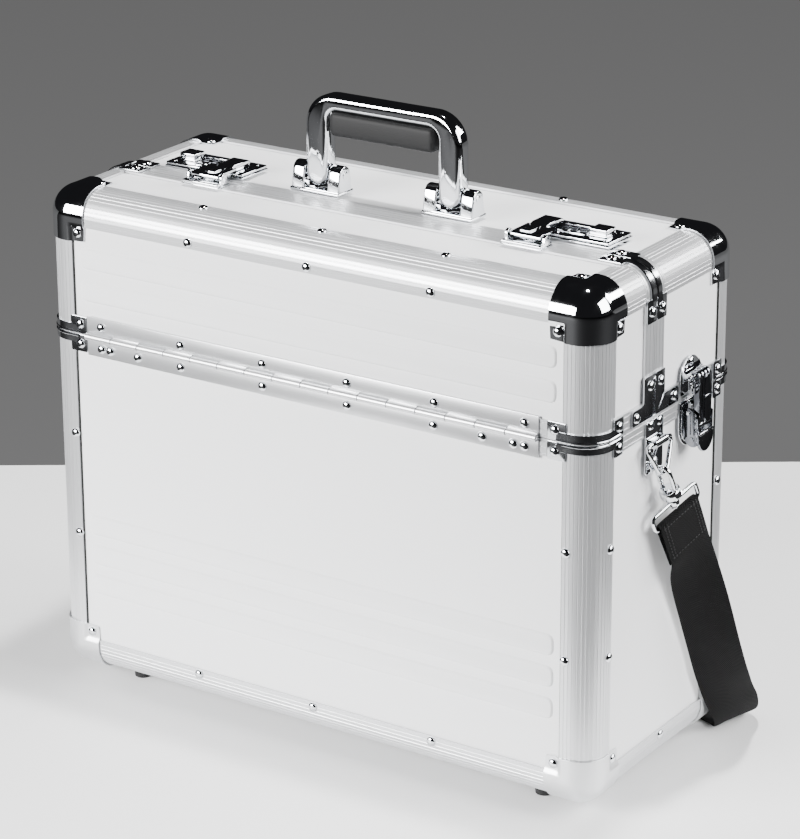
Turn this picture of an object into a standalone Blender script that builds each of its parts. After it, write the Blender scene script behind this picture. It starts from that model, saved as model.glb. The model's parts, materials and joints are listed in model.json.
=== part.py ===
"""Aluminium pilot case: a lower body, two top wings on full-length hinges, a folding carry handle,
two combination locks, two draw latches and a shoulder strap on snap hooks.

Metres, +Z up. The origin is the middle of the case on the surface it stands on. The long side runs
along X, the front faces -Y, and right is +X. Run it with: blender --background --python part.py
"""

import bmesh
import bpy
from math import cos, pi, radians, sin
from mathutils import Matrix, Vector

MM = 0.001

# Driving sizes of the closed case, over its edge profiles
LENGTH = 470 * MM
WIDTH = 196 * MM
HEIGHT = 380 * MM
FOOT_H = 10 * MM
BELT_H = 272 * MM       # where the wings meet the body, above the underside
SEAM_Y = -20 * MM       # where the two wings meet
EDGE_R = 20 * MM        # outer rounding of every edge
FLANGE = 25.4 * MM      # how far an edge profile reaches over a panel
RIM = 13 * MM           # the same at the belt and along the seam
PROFILE_T = 1.5 * MM    # wall of the aluminium profiles
PANEL_T = 4 * MM        # laminated panel with its skin
GAP = 0.3 * MM          # between pieces that touch
PART_GAP = 0.25 * MM    # each side of the belt and of the seam
CAP_T = 1.3 * MM        # pressed steel corner caps
CAP_REACH = 38 * MM

HALF_L = LENGTH / 2
HALF_W = WIDTH / 2
BASE = FOOT_H           # underside of the case
TOP = BASE + HEIGHT
BELT = BASE + BELT_H
PANEL_IN = PROFILE_T + GAP

# Full-length hinges
LEAF_T = 1.2 * MM
LEAF_H = 15 * MM
KNUCKLE_R = 2.6 * MM
HINGE_PIN_R = 1.2 * MM
HINGE_X = (-197 * MM, 191 * MM)
KNUCKLES = 16
HINGE_Y = HALF_W + GAP + KNUCKLE_R

# Handle, on the rear wing
HANDLE_X = 57 * MM
HANDLE_Y = 4 * MM
HANDLE_PIVOT = TOP + 14.5 * MM
HANDLE_TOP = TOP + 75 * MM
LEG_W = 19 * MM
BAR_H = 12 * MM
BOW_D = 15 * MM
BOW_R = 22 * MM
BASE_W = 43 * MM
BASE_D = 20 * MM
HANDLE_PIN_R = 2.3 * MM

# Combination locks, mirrored left and right
LOCK_X = 155.5 * MM
LOCK_Y = 8.5 * MM
PLATE_L = 71 * MM
PLATE_D = 33 * MM
PLATE_T = 3.5 * MM
DIAL_R = 6.5 * MM
DIAL_W = 5.2 * MM
DIAL_PITCH = 7.5 * MM
DIAL_Z = TOP + 1.0 * MM
KNOB_U = 21.5 * MM      # knob's middle, outwards from the lock's middle
KNOB_TRAVEL = 5 * MM
HASP_U = -18 * MM
HASP_Y = -28 * MM
HASP_Z = TOP + 6.5 * MM
HASP_R = 2.9 * MM
HASP_PIN_R = 1.3 * MM

# Draw latches on the two short sides; D is the distance out from the side
LATCH_Y = 30 * MM
LEVER_D = 5.5 * MM
LEVER_Z = BASE + 262 * MM
CLAW_D = 11.5 * MM
CLAW_Z = BASE + 253 * MM
CLAW_TOP = BASE + 291 * MM

# Strap fittings
ANCHOR_Y = -20 * MM
RING_D = 5.0 * MM
RING_Z = BASE + 254 * MM
RING_R = 1.6 * MM
RING_HALF = 15 * MM
APEX_D = 9.0 * MM
APEX_Z = BASE + 232 * MM
HOOK_R = 1.7 * MM
ARCH_R = 5.2 * MM
HOOK_AXIS = Vector((0.08, 0.40, -0.91)).normalized()
LOOP_ACROSS = Vector((0.27, 0.86, 0.43))
LOOP_HALF = 22 * MM
BAR_DROP = 39 * MM      # from the hook's arch down to the loop's lower bar
STRAP_W = 38 * MM
STRAP_T = 2 * MM

FOOT_X = 180 * MM
FOOT_Y = 68 * MM
FOOT_R = 7.5 * MM


# ---------------------------------------------------------------- materials

def material(name, colour, rough, metal):
    """A Principled material from an sRGB hex colour."""
    made = bpy.data.materials.new(name)
    made.use_nodes = True
    shader = made.node_tree.nodes["Principled BSDF"]
    channels = [int(colour[i:i + 2], 16) / 255 for i in (0, 2, 4)]
    linear = [((c + 0.055) / 1.055) ** 2.4 if c > 0.04 else c / 12.92 for c in channels]
    shader.inputs["Base Color"].default_value = (*linear, 1)
    shader.inputs["Roughness"].default_value = rough
    shader.inputs["Metallic"].default_value = metal
    return made


# ---------------------------------------------------------------- solids

def as_object(bm):
    """A temporary object holding the solid in world coordinates."""
    bmesh.ops.recalc_face_normals(bm, faces=bm.faces)
    mesh = bpy.data.meshes.new("solid")
    bm.to_mesh(mesh)
    bm.free()
    made = bpy.data.objects.new("solid", mesh)
    bpy.context.scene.collection.objects.link(made)
    return made


def block(low, high, bevel=0.0, segments=2):
    """A box from its lowest to its highest corner, with every edge rounded if bevel is given."""
    low, high = Vector(low), Vector(high)
    bm = bmesh.new()
    bmesh.ops.create_cube(bm, size=1)
    size = high - low
    place = Matrix.Translation((low + high) / 2) @ Matrix.Diagonal((*size, 1))
    bmesh.ops.transform(bm, matrix=place, verts=bm.verts)
    if bevel:
        bmesh.ops.bevel(bm, geom=bm.edges, offset=bevel, segments=segments,
                        profile=0.5, affect="EDGES")
    return as_object(bm)


def span(a, b):
    """The two numbers in order, for a box on either side of the case."""
    return (min(a, b), max(a, b))


def side_block(side, d, y, z, bevel=0.0):
    """A box on a short side: d is its span out from that side's face."""
    x = span(side * (HALF_L + d[0]), side * (HALF_L + d[1]))
    return block((x[0], y[0], z[0]), (x[1], y[1], z[1]), bevel)


def rod(start, end, radius, sides=16):
    """A round bar between two points."""
    start, end = Vector(start), Vector(end)
    run = end - start
    bm = bmesh.new()
    bmesh.ops.create_cone(bm, cap_ends=True, segments=sides, radius1=radius,
                          radius2=radius, depth=run.length)
    turn = run.to_track_quat("Z", "Y").to_matrix().to_4x4()
    bmesh.ops.transform(bm, matrix=Matrix.Translation((start + end) / 2) @ turn, verts=bm.verts)
    return as_object(bm)


def slab(outline, low, high, axis):
    """An outline extruded along X, Y or Z. Its points give the other two coordinates in order."""
    place = {"X": lambda a, b, c: (c, a, b), "Y": lambda a, b, c: (a, c, b),
             "Z": lambda a, b, c: (a, b, c)}[axis]
    bm = bmesh.new()
    face = bm.faces.new([bm.verts.new(place(a, b, low)) for a, b in outline])
    grown = bmesh.ops.extrude_face_region(bm, geom=[face])
    moved = [v for v in grown["geom"] if isinstance(v, bmesh.types.BMVert)]
    bmesh.ops.translate(bm, vec=place(0, 0, high - low), verts=moved)
    return as_object(bm)


def arc(centre, radius, start, end, steps):
    """Points on an arc, angles in degrees."""
    angles = [radians(start + (end - start) * i / steps) for i in range(steps + 1)]
    return [(centre[0] + radius * cos(a), centre[1] + radius * sin(a)) for a in angles]


def tube(points, radius, closed=False, rings=2):
    """A round wire through the points, with filled ends."""
    curve = bpy.data.curves.new("wire", "CURVE")
    curve.dimensions = "3D"
    curve.bevel_depth = radius
    curve.bevel_resolution = rings
    curve.use_fill_caps = not closed
    line = curve.splines.new("POLY")
    line.points.add(len(points) - 1)
    for point, at in zip(line.points, points):
        point.co = (*at, 1)
    line.use_cyclic_u = closed
    wire = bpy.data.objects.new("wire", curve)
    bpy.context.scene.collection.objects.link(wire)
    bpy.context.view_layer.update()
    mesh = bpy.data.meshes.new_from_object(
        wire.evaluated_get(bpy.context.evaluated_depsgraph_get()))
    bpy.data.objects.remove(wire)
    bm = bmesh.new()
    bm.from_mesh(mesh)
    bmesh.ops.remove_doubles(bm, verts=bm.verts, dist=1e-6)
    return as_object(bm)


def group(solids):
    """Solids that don't touch each other, as one object, to cut or join with in one step."""
    bm = bmesh.new()
    for solid in solids:
        bm.from_mesh(solid.data)
        bpy.data.objects.remove(solid)
    return as_object(bm)


def combine(target, others, operation):
    """Runs one exact Boolean after another on the target, and removes what it used."""
    for other in others:
        step = target.modifiers.new("step", "BOOLEAN")
        step.operation = operation
        step.object = other
        step.solver = "EXACT"
    bpy.context.view_layer.update()
    graph = bpy.context.evaluated_depsgraph_get()
    target.data = bpy.data.meshes.new_from_object(target.evaluated_get(graph))
    target.modifiers.clear()
    for other in others:
        bpy.data.objects.remove(other)
    return target


def join(target, *others):
    return combine(target, others, "UNION")


def cut(target, *others):
    return combine(target, others, "DIFFERENCE")


def common(target, other):
    return combine(target, [other], "INTERSECT")


def case_form(grow):
    """The whole closed case as one rounded solid, larger than the profiles by grow all round."""
    low = (-HALF_L - grow, -HALF_W - grow, BASE - grow)
    high = (HALF_L + grow, HALF_W + grow, TOP + grow)
    return block(low, high, EDGE_R + grow, 4)


# ---------------------------------------------------------------- bodies and pieces

bodies = {}


def body(name, at, parent=None):
    """An empty on the joint's axis. The pieces that move with it are its children."""
    pivot = bpy.data.objects.new("body_" + name, None)
    bpy.context.scene.collection.objects.link(pivot)
    pivot.empty_display_size = 0.01
    origin = Vector(at)
    if parent:
        pivot.parent = bodies[parent][0]
        pivot.location = origin - bodies[parent][1]
    else:
        pivot.location = origin
    bodies[name] = (pivot, origin)


def piece(solid, name, finish, body_name):
    """Names a finished solid, gives it its material and puts it under its body's empty."""
    pivot, origin = bodies[body_name]
    solid.name = name
    solid.data.name = name
    solid.data.transform(Matrix.Translation(-origin))
    solid.data.materials.clear()
    solid.data.materials.append(finish)
    solid.data.shade_smooth()
    solid.data.set_sharp_from_angle(angle=radians(35))
    solid.parent = pivot
    return solid


# ---------------------------------------------------------------- case and wings

def part_of_case(solid, which):
    """Keeps the body's, the front wing's or the rear wing's share of a form of the whole case."""
    far = 1.0
    if which == "case":
        return cut(solid, block((-far, -far, BELT - PART_GAP), (far, far, far)))
    solid = cut(solid, block((-far, -far, -far), (far, far, BELT + PART_GAP)))
    if which == "front_wing":
        return cut(solid, block((-far, SEAM_Y - PART_GAP, 0), (far, far, far)))
    return cut(solid, block((-far, -far, 0), (far, SEAM_Y + PART_GAP, far)))


def panels(which):
    """The laminated panels of the body or a wing, bent and glued into one shell."""
    shell = cut(case_form(-PANEL_IN), case_form(-PANEL_IN - PANEL_T))
    return part_of_case(shell, which)


def frame(which):
    """The rounded edge profiles and rims round the panels, open over each panel."""
    skin = cut(case_form(0), case_form(-PROFILE_T))
    far = 1.0
    x = HALF_L - FLANGE
    y_low, y_high = -HALF_W + FLANGE, HALF_W - FLANGE
    z_low, z_high = BASE + FLANGE, BELT - RIM
    if which != "case":
        z_low, z_high = BELT + RIM, TOP - FLANGE
    if which == "front_wing":
        y_high = SEAM_Y - RIM
    if which == "rear_wing":
        y_low = SEAM_Y + RIM
    end_low, end_high = (BASE - MM, BASE + EDGE_R) if which == "case" else (TOP - EDGE_R, TOP + MM)
    windows = [block((-x, -far, z_low), (x, far, z_high)),
               block((-far, y_low, z_low), (far, y_high, z_high)),
               block((-x, y_low, end_low), (x, y_high, end_high))]
    return cut(part_of_case(skin, which), *windows)


def corner_cap(side_x, side_y, top):
    """A pressed cap over one corner."""
    cap = cut(case_form(GAP + CAP_T), case_form(GAP))
    reach = CAP_REACH + GAP + CAP_T
    x = span(side_x * (HALF_L + 5 * MM), side_x * (HALF_L + 2 * MM - reach))
    y = span(side_y * (HALF_W + 5 * MM), side_y * (HALF_W + 2 * MM - reach))
    end, inward = (TOP, -1) if top else (BASE, 1)
    z = span(end - inward * 5 * MM, end + inward * (reach - 2 * MM))
    return common(cap, block((x[0], y[0], z[0]), (x[1], y[1], z[1])))


def foot(side_x, side_y):
    """A rubber foot, slightly tapered, under the bottom profile."""
    bm = bmesh.new()
    height = FOOT_H - GAP
    bmesh.ops.create_cone(bm, cap_ends=True, segments=20, radius1=FOOT_R * 0.86,
                          radius2=FOOT_R, depth=height)
    at = Matrix.Translation((side_x * FOOT_X, side_y * FOOT_Y, height / 2))
    bmesh.ops.transform(bm, matrix=at, verts=bm.verts)
    return as_object(bm)


def hinge_leaf(side, on_body):
    """One leaf of a full-length hinge with every second knuckle. The pin is staked in the body's leaf."""
    face = side * (HALF_W + GAP)
    axis_y = side * HINGE_Y
    y = span(face, face + side * LEAF_T)
    pitch = (HINGE_X[1] - HINGE_X[0]) / KNUCKLES
    own, other = [], []
    for i in range(KNUCKLES):
        start = HINGE_X[0] + i * pitch + GAP / 2
        ends = ((start, axis_y, BELT), (start + pitch - GAP, axis_y, BELT))
        wider = ((start - GAP, axis_y, BELT), (start + pitch, axis_y, BELT))
        if (i % 2 == 0) == on_body:
            own.append(rod(*ends, KNUCKLE_R, 8))
        else:
            other.append(rod(*wider, KNUCKLE_R + 2 * GAP, 8))
    z = (BELT - LEAF_H, BELT) if on_body else (BELT, BELT + LEAF_H)
    leaf = block((HINGE_X[0], y[0], z[0]), (HINGE_X[1], y[1], z[1]))
    leaf = cut(leaf, group(other))
    leaf = join(leaf, group(own))
    if on_body:
        return join(leaf, rod((HINGE_X[0] + MM, axis_y, BELT), (HINGE_X[1] - MM, axis_y, BELT),
                              HINGE_PIN_R, 6))
    return cut(leaf, rod((HINGE_X[0] - MM, axis_y, BELT), (HINGE_X[1] + MM, axis_y, BELT),
                         HINGE_PIN_R + 2 * GAP, 6))


# ---------------------------------------------------------------- handle

def handle_base(side):
    """A base with two cheeks, and the pin that the bow turns on."""
    x = side * HANDLE_X
    y = (HANDLE_Y - BASE_D / 2, HANDLE_Y + BASE_D / 2)
    floor = TOP - PROFILE_T + GAP
    plate = block((x - BASE_W / 2, y[0], floor), (x + BASE_W / 2, y[1], TOP + 2 * MM))
    cheeks = []
    inner = LEG_W / 2 + MM
    shape = [(y[0] + MM, TOP), (y[1] - MM, TOP)] + arc((HANDLE_Y, HANDLE_PIVOT), 6.5 * MM, 0, 180, 8)
    for way in (-1, 1):
        ends = span(x + way * inner, x + way * (BASE_W / 2 - MM))
        cheeks.append(slab(shape, *ends, "X"))
    pin = rod((x - BASE_W / 2 + 3 * MM, HANDLE_Y, HANDLE_PIVOT),
              (x + BASE_W / 2 - 3 * MM, HANDLE_Y, HANDLE_PIVOT), HANDLE_PIN_R)
    return join(plate, *cheeks, pin)


def handle_bow():
    """The rigid U of the handle, bored for its two pins."""
    half = HANDLE_X + LEG_W / 2
    inside = HANDLE_X - LEG_W / 2
    under = HANDLE_TOP - BAR_H
    low = HANDLE_PIVOT
    outline = arc((HANDLE_X, low), LEG_W / 2, -180, 0, 8)
    outline += arc((half - BOW_R, HANDLE_TOP - BOW_R), BOW_R, 0, 90, 6)
    outline += arc((BOW_R - half, HANDLE_TOP - BOW_R), BOW_R, 90, 180, 6)
    outline += arc((-HANDLE_X, low), LEG_W / 2, -180, 0, 8)
    corner = 8 * MM
    outline += arc((corner - inside, under - corner), corner, 180, 90, 4)
    outline += arc((inside - corner, under - corner), corner, 90, 0, 4)
    bow = slab(outline, HANDLE_Y - BOW_D / 2, HANDLE_Y + BOW_D / 2, "Y")
    soft = bow.modifiers.new("edges", "BEVEL")
    soft.width = 2.5 * MM
    soft.segments = 2
    soft.limit_method = "ANGLE"
    soft.angle_limit = radians(60)
    bores = []
    for side in (-1, 1):
        x = side * HANDLE_X
        bores.append(rod((x - LEG_W, HANDLE_Y, low), (x + LEG_W, HANDLE_Y, low),
                         HANDLE_PIN_R + GAP))
    return cut(bow, *bores)


def handle_grip():
    """The soft insert under the bar."""
    half = HANDLE_X - LEG_W / 2 - 3.5 * MM
    high = HANDLE_TOP - BAR_H - GAP
    depth = BOW_D / 2 + 0.7 * MM
    return block((-half, HANDLE_Y - depth, high - 18.4 * MM), (half, HANDLE_Y + depth, high),
                 5 * MM, 3)


# ---------------------------------------------------------------- locks

def lock_block(side, u, y, z, bevel=0.0):
    """A box on a lock: u runs outwards along X from the lock's middle."""
    x = span(side * (LOCK_X + u[0]), side * (LOCK_X + u[1]))
    return block((x[0], y[0], TOP + z[0]), (x[1], y[1], TOP + z[1]), bevel)


def lock_room(side, more=0.0):
    """The space that the mechanism's housing takes under the plate."""
    return lock_block(side, (-29 * MM - more, 34 * MM + more),
                      (LOCK_Y - 13 * MM - more, LOCK_Y + 13 * MM + more), (-12 * MM - more, 0.4 * MM))


def lock_body(side):
    """The face plate, the open housing under it and the dials' shaft."""
    half = PLATE_D / 2
    plate = lock_block(side, (-PLATE_L / 2, PLATE_L / 2), (LOCK_Y - half, LOCK_Y + half),
                       (GAP, GAP + PLATE_T))
    wall = 1.2 * MM
    hollow = lock_block(side, (-29 * MM + wall, 34 * MM - wall),
                        (LOCK_Y - 13 * MM + wall, LOCK_Y + 13 * MM - wall), (-13 * MM, -MM))
    made = join(plate, cut(lock_room(side), hollow))
    slots = []
    for i in (-1, 0, 1):
        u = i * DIAL_PITCH
        slots.append(lock_block(side, (u - DIAL_W / 2 - 0.4 * MM, u + DIAL_W / 2 + 0.4 * MM),
                                (LOCK_Y - DIAL_R - MM, LOCK_Y + DIAL_R + MM), (-2 * MM, 5 * MM)))
    slots.append(lock_block(side, (KNOB_U - 3.5 * MM, KNOB_U + 3.5 * MM + KNOB_TRAVEL),
                            (LOCK_Y - 3.5 * MM, LOCK_Y + 1.5 * MM), (-2 * MM, 5 * MM)))
    made = cut(made, *slots)
    ends = [(side * (LOCK_X + u), LOCK_Y, DIAL_Z) for u in (-12.6 * MM, 12.6 * MM)]
    bearers = [lock_block(side, (u - MM, u + MM), (LOCK_Y - 4 * MM, LOCK_Y + 4 * MM),
                          (-3 * MM, 0.5 * MM)) for u in (-12.4 * MM, 12.4 * MM)]
    return join(made, *bearers, rod(*ends, 1.9 * MM, 12))


def lock_dial(side, i):
    """A number wheel with its bore."""
    x = side * (LOCK_X + i * DIAL_PITCH)
    wheel = rod((x - DIAL_W / 2, LOCK_Y, DIAL_Z), (x + DIAL_W / 2, LOCK_Y, DIAL_Z), DIAL_R, 20)
    return cut(wheel, rod((x - DIAL_W, LOCK_Y, DIAL_Z), (x + DIAL_W, LOCK_Y, DIAL_Z),
                          2.2 * MM, 12))


def lock_knob(side):
    """The thumb slide, its stem through the plate and the foot that holds it there."""
    y = (LOCK_Y - MM - 6.5 * MM, LOCK_Y - MM + 6.5 * MM)
    knob = lock_block(side, (KNOB_U - 7 * MM, KNOB_U + 7 * MM), y,
                      (GAP + PLATE_T + GAP, 10.3 * MM), MM)
    stem = lock_block(side, (KNOB_U - 3 * MM, KNOB_U + 3 * MM),
                      (LOCK_Y - 3.1 * MM, LOCK_Y + 1.1 * MM), (-3 * MM, 6 * MM))
    under = lock_block(side, (KNOB_U - 4.5 * MM, KNOB_U + 4.5 * MM),
                       (LOCK_Y - 6 * MM, LOCK_Y + 4 * MM), (-5 * MM, -2.4 * MM))
    return join(knob, stem, under)


def hasp_base(side):
    """The plate on the front wing with two ears and the hasp's pin."""
    half = 16.5 * MM
    base = lock_block(side, (HASP_U - half, HASP_U + half), (-37 * MM, -21 * MM),
                      (GAP, GAP + 3 * MM))
    ears = []
    shape = [(-33 * MM, TOP + 2 * MM), (-23 * MM, TOP + 2 * MM)]
    shape += arc((HASP_Y, HASP_Z), 3.5 * MM, 0, 180, 6)
    middle = side * (LOCK_X + HASP_U)
    for way in (-1, 1):
        ears.append(slab(shape, *span(middle + way * (half - 3 * MM), middle + way * half), "X"))
    pin = rod((middle - half + MM, HASP_Y, HASP_Z), (middle + half - MM, HASP_Y, HASP_Z),
              HASP_PIN_R, 10)
    return join(base, *ears, pin)


def hasp(side):
    """The arm that swings over the seam: barrel, plate and the raised end over the lock."""
    middle = side * (LOCK_X + HASP_U)
    half = 12.6 * MM
    barrel = rod((middle - half, HASP_Y, HASP_Z), (middle + half, HASP_Y, HASP_Z), HASP_R, 14)
    arm = block((middle - 11.5 * MM, HASP_Y, HASP_Z + 0.6 * MM),
                (middle + 11.5 * MM, -7 * MM, HASP_Z + HASP_R - 0.3 * MM))
    head = lock_block(side, (-27.5 * MM, -13.5 * MM), (-9 * MM, 14 * MM),
                      (GAP + PLATE_T + GAP, 10.3 * MM), 0.8 * MM)
    made = join(barrel, arm, head)
    return cut(made, rod((middle - 2 * half, HASP_Y, HASP_Z), (middle + 2 * half, HASP_Y, HASP_Z),
                         HASP_PIN_R + GAP, 10))


# ---------------------------------------------------------------- draw latches

def latch_rod(side, d, z, half, radius, sides=12):
    """A round bar along Y on a latch, half long each way from the latch's middle."""
    x = side * (HALF_L + d)
    return rod((x, LATCH_Y - half, z), (x, LATCH_Y + half, z), radius, sides)


def latch_base(side):
    """The base plate with its round lower end, two cheeks and the lever's pin."""
    r = 15 * MM
    z_top = BELT - 2 * MM
    outline = [(LATCH_Y + r, z_top), (LATCH_Y - r, z_top)]
    outline += arc((LATCH_Y, BASE + 250 * MM), r, 180, 360, 10)
    plate = slab(outline, *span(side * (HALF_L + GAP), side * (HALF_L + GAP + 1.2 * MM)), "X")
    cheeks = []
    for way in (-1, 1):
        y = span(LATCH_Y + way * 7.0 * MM, LATCH_Y + way * 8.4 * MM)
        cheeks.append(side_block(side, (MM, 8.3 * MM), y, (BASE + 256 * MM, BELT - 3 * MM)))
    return join(plate, *cheeks, latch_rod(side, LEVER_D, LEVER_Z, 10.8 * MM, 1.5 * MM))


def latch_lever(side):
    """The lever: two flanges from its pin to the tongue, and the pin that carries the claw."""
    flanges = []
    tongue_top = BASE + 247 * MM
    for way in (-1, 1):
        y = span(LATCH_Y + way * 8.9 * MM, LATCH_Y + way * 10.3 * MM)
        shape = arc((LEVER_D, LEVER_Z), 3.6 * MM, 60, 240, 6)
        shape += [(11.0 * MM, BASE + 242 * MM), (15.2 * MM, BASE + 242 * MM),
                  (15.2 * MM, BASE + 256 * MM)]
        placed = [(side * (HALF_L + d), z) for d, z in shape]
        flanges.append(slab(placed, *y, "Y"))
    r = 10.3 * MM
    tip = [(LATCH_Y + r, tongue_top), (LATCH_Y - r, tongue_top)]
    tip += arc((LATCH_Y, BASE + 243 * MM), r, 180, 360, 10)
    tongue = slab(tip, *span(side * (HALF_L + 13.4 * MM), side * (HALF_L + 15.2 * MM)), "X")
    made = join(tongue, *flanges, latch_rod(side, CLAW_D, CLAW_Z, 10.0 * MM, 1.2 * MM))
    return cut(made, latch_rod(side, LEVER_D, LEVER_Z, 12 * MM, 1.8 * MM))


def latch_claw(side):
    """The claw between the lever's flanges, hooked over the strike on the wing."""
    barrel = latch_rod(side, CLAW_D, CLAW_Z, 8.4 * MM, 2.6 * MM)
    y = (LATCH_Y - 8.4 * MM, LATCH_Y + 8.4 * MM)
    plate = side_block(side, (12.3 * MM, 13.9 * MM), y, (CLAW_Z, CLAW_TOP + 1.8 * MM))
    lip = side_block(side, (5.5 * MM, 13.9 * MM), y, (CLAW_TOP, CLAW_TOP + 1.8 * MM))
    made = join(plate, barrel, lip)
    return cut(made, latch_rod(side, CLAW_D, CLAW_Z, 12 * MM, 1.5 * MM))


def latch_strike(side):
    """The strike on the rear wing: a plate with a round upper end and a shelf for the claw."""
    r = 14 * MM
    low = BELT + 2.5 * MM
    outline = [(LATCH_Y - r, low), (LATCH_Y + r, low)]
    outline += arc((LATCH_Y, BASE + 287 * MM), r, 0, 180, 10)
    plate = slab(outline, *span(side * (HALF_L + GAP), side * (HALF_L + GAP + 1.2 * MM)), "X")
    shelf = side_block(side, (MM, 9 * MM), (LATCH_Y - 9 * MM, LATCH_Y + 9 * MM),
                       (CLAW_TOP - 4.5 * MM, CLAW_TOP - 0.5 * MM))
    return join(plate, shelf)


# ---------------------------------------------------------------- strap fittings

def strap_anchor(side):
    """The riveted anchor plate with the rolled barrel that holds the ring."""
    half = 12 * MM
    y = (ANCHOR_Y - half, ANCHOR_Y + half)
    plate = side_block(side, (GAP, GAP + 1.2 * MM), y, (BASE + 231 * MM, BELT - 2 * MM))
    x = side * (HALF_L + RING_D)
    barrel = rod((x, y[0], RING_Z), (x, y[1], RING_Z), 3.2 * MM, 14)
    web = side_block(side, (MM, RING_D), y, (RING_Z + 1.9 * MM, RING_Z + 3.1 * MM))
    made = join(plate, barrel, web)
    return cut(made, rod((x, y[0] - MM, RING_Z), (x, y[1] + MM, RING_Z), RING_R + GAP, 12))


def strap_ring(side):
    """A triangular wire ring, its straight side in the anchor's barrel."""
    drop = RING_Z - APEX_Z
    corners = [(-RING_HALF, 0), (RING_HALF, 0)]
    corners += [(5.5 * MM, -drop + 2.2 * MM), (3.2 * MM, -drop + 0.5 * MM), (0, -drop),
                (-3.2 * MM, -drop + 0.5 * MM), (-5.5 * MM, -drop + 2.2 * MM)]
    lean = (APEX_D - RING_D) / drop
    rounded = []
    for i, (y, z) in enumerate(corners):
        if i > 1:
            rounded.append((y, z))
            continue
        away = 1 if y > 0 else -1
        turn = arc((y, z - 3 * MM), 3 * MM, 90, 90 - away * 115, 4)
        rounded += turn if away > 0 else turn[::-1]
    points = [(side * (HALF_L + RING_D - lean * z), ANCHOR_Y + y, RING_Z + z) for y, z in rounded]
    return tube(points, RING_R, closed=True, rings=1)


def hook_place(side):
    """The matrix that sets a hook modelled upright under its arch onto the ring's lowest point."""
    up = -HOOK_AXIS
    across = (LOOP_ACROSS - LOOP_ACROSS.dot(up) * up).normalized()
    third = across.cross(up)
    turn = Matrix((third, across, up)).transposed().to_4x4()
    place = Matrix.Translation((HALF_L + APEX_D, ANCHOR_Y, APEX_Z)) @ turn
    if side < 0:
        place = Matrix.Diagonal((-1, 1, 1, 1)) @ place
    return place


def set_on_ring(solid, side):
    """Moves a solid of the hook from its upright place, keeping its faces outwards."""
    solid.data.transform(hook_place(side))
    if side < 0:
        solid.data.flip_normals()
    return solid


ARCH_LOW = -1.0 * MM    # the arch's middle, below the ring's wire
ARCH_TURN = radians(12)
GATE_AT = (-ARCH_R * cos(ARCH_TURN), -ARCH_R * sin(ARCH_TURN))
LEG_AT = (ARCH_R * cos(ARCH_TURN), ARCH_R * sin(ARCH_TURN))


def snap_hook(side):
    """Arch, leg, block that guides the gate, and the swivel stem with its head."""
    points = []
    for y, z in arc((0, 0), ARCH_R, 180, 0, 8):
        points.append((y * cos(ARCH_TURN), y * sin(ARCH_TURN), ARCH_LOW + z))
    points.insert(0, (*GATE_AT, ARCH_LOW - 2 * MM))
    points.append((*LEG_AT, ARCH_LOW - 20 * MM))
    arch = tube(points, HOOK_R)
    guide = rod((0, 0, -16 * MM), (0, 0, -22 * MM), 7.8 * MM, 18)
    stem = rod((0, 0, -21 * MM), (0, 0, -30.5 * MM), 2.0 * MM, 12)
    head = rod((0, 0, -30 * MM), (0, 0, -31.5 * MM), 3.4 * MM, 12)
    made = join(arch, guide, stem, head)
    made = cut(made, rod((*GATE_AT, -12 * MM), (*GATE_AT, -24 * MM), 1.5 * MM + GAP, 12))
    return set_on_ring(made, side)


def hook_gate(side):
    """The sliding bolt that closes the hook, with its thumb collar."""
    bolt = rod((*GATE_AT, ARCH_LOW - 2.4 * MM), (*GATE_AT, -17.5 * MM), 1.5 * MM, 12)
    collar = rod((*GATE_AT, -8 * MM), (*GATE_AT, -10.5 * MM), 2.0 * MM, 12)
    return set_on_ring(join(bolt, collar), side)


def strap_loop(side):
    """The rectangular loop that the webbing is sewn round, on a collar that swivels on the stem."""
    high, low = -27 * MM, -BAR_DROP
    half, r = LOOP_HALF, 3 * MM
    points = [(0, y, z) for y, z in
              arc((half - r, high - r), r, 90, 0, 3) + arc((half - r, low + r), r, 0, -90, 3)
              + arc((r - half, low + r), r, -90, -180, 3) + arc((r - half, high - r), r, 180, 90, 3)]
    wire = tube(points, 1.6 * MM, closed=True, rings=1)
    collar = rod((0, 0, -24 * MM), (0, 0, -29.5 * MM), 4.2 * MM, 16)
    made = join(wire, collar)
    made = cut(made, rod((0, 0, -23 * MM), (0, 0, -30 * MM), 2.3 * MM, 12))
    return set_on_ring(made, side)


# ---------------------------------------------------------------- shoulder strap

# Middle line of the right half, from the loop's lower bar to the middle behind the case, with the
# direction across the webbing at each point. The left half is its mirror image.
ROUTE = [
    ((245.7, -3.3, 203.6), (0.27, 0.86, 0.43)),
    ((247.5, 5.5, 183.0), (0.34, 0.84, 0.41)),
    ((251.0, 17.5, 155.0), (0.55, 0.76, 0.30)),
    ((255.5, 30.0, 124.0), (0.76, 0.62, 0.12)),
    ((258.5, 43.0, 94.0), (0.80, 0.56, -0.03)),
    ((258.5, 60.0, 64.0), (0.66, 0.72, -0.12)),
    ((256.0, 79.0, 38.0), (0.42, 0.88, -0.16)),
    ((254.0, 94.0, 19.0), (0.32, 0.93, -0.08)),
    ((247.0, 104.0, 6.5), (0.27, 0.96, 0.0)),
    ((235.0, 109.5, 2.2), (0.20, 0.98, 0.0)),
    ((215.0, 114.0, 1.6), (0.12, 0.99, 0.0)),
    ((170.0, 121.0, 1.6), (0.06, 1.0, 0.0)),
    ((90.0, 127.0, 1.6), (0.03, 1.0, 0.0)),
    ((0.0, 129.0, 1.6), (0.0, 1.0, 0.0)),
]


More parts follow.
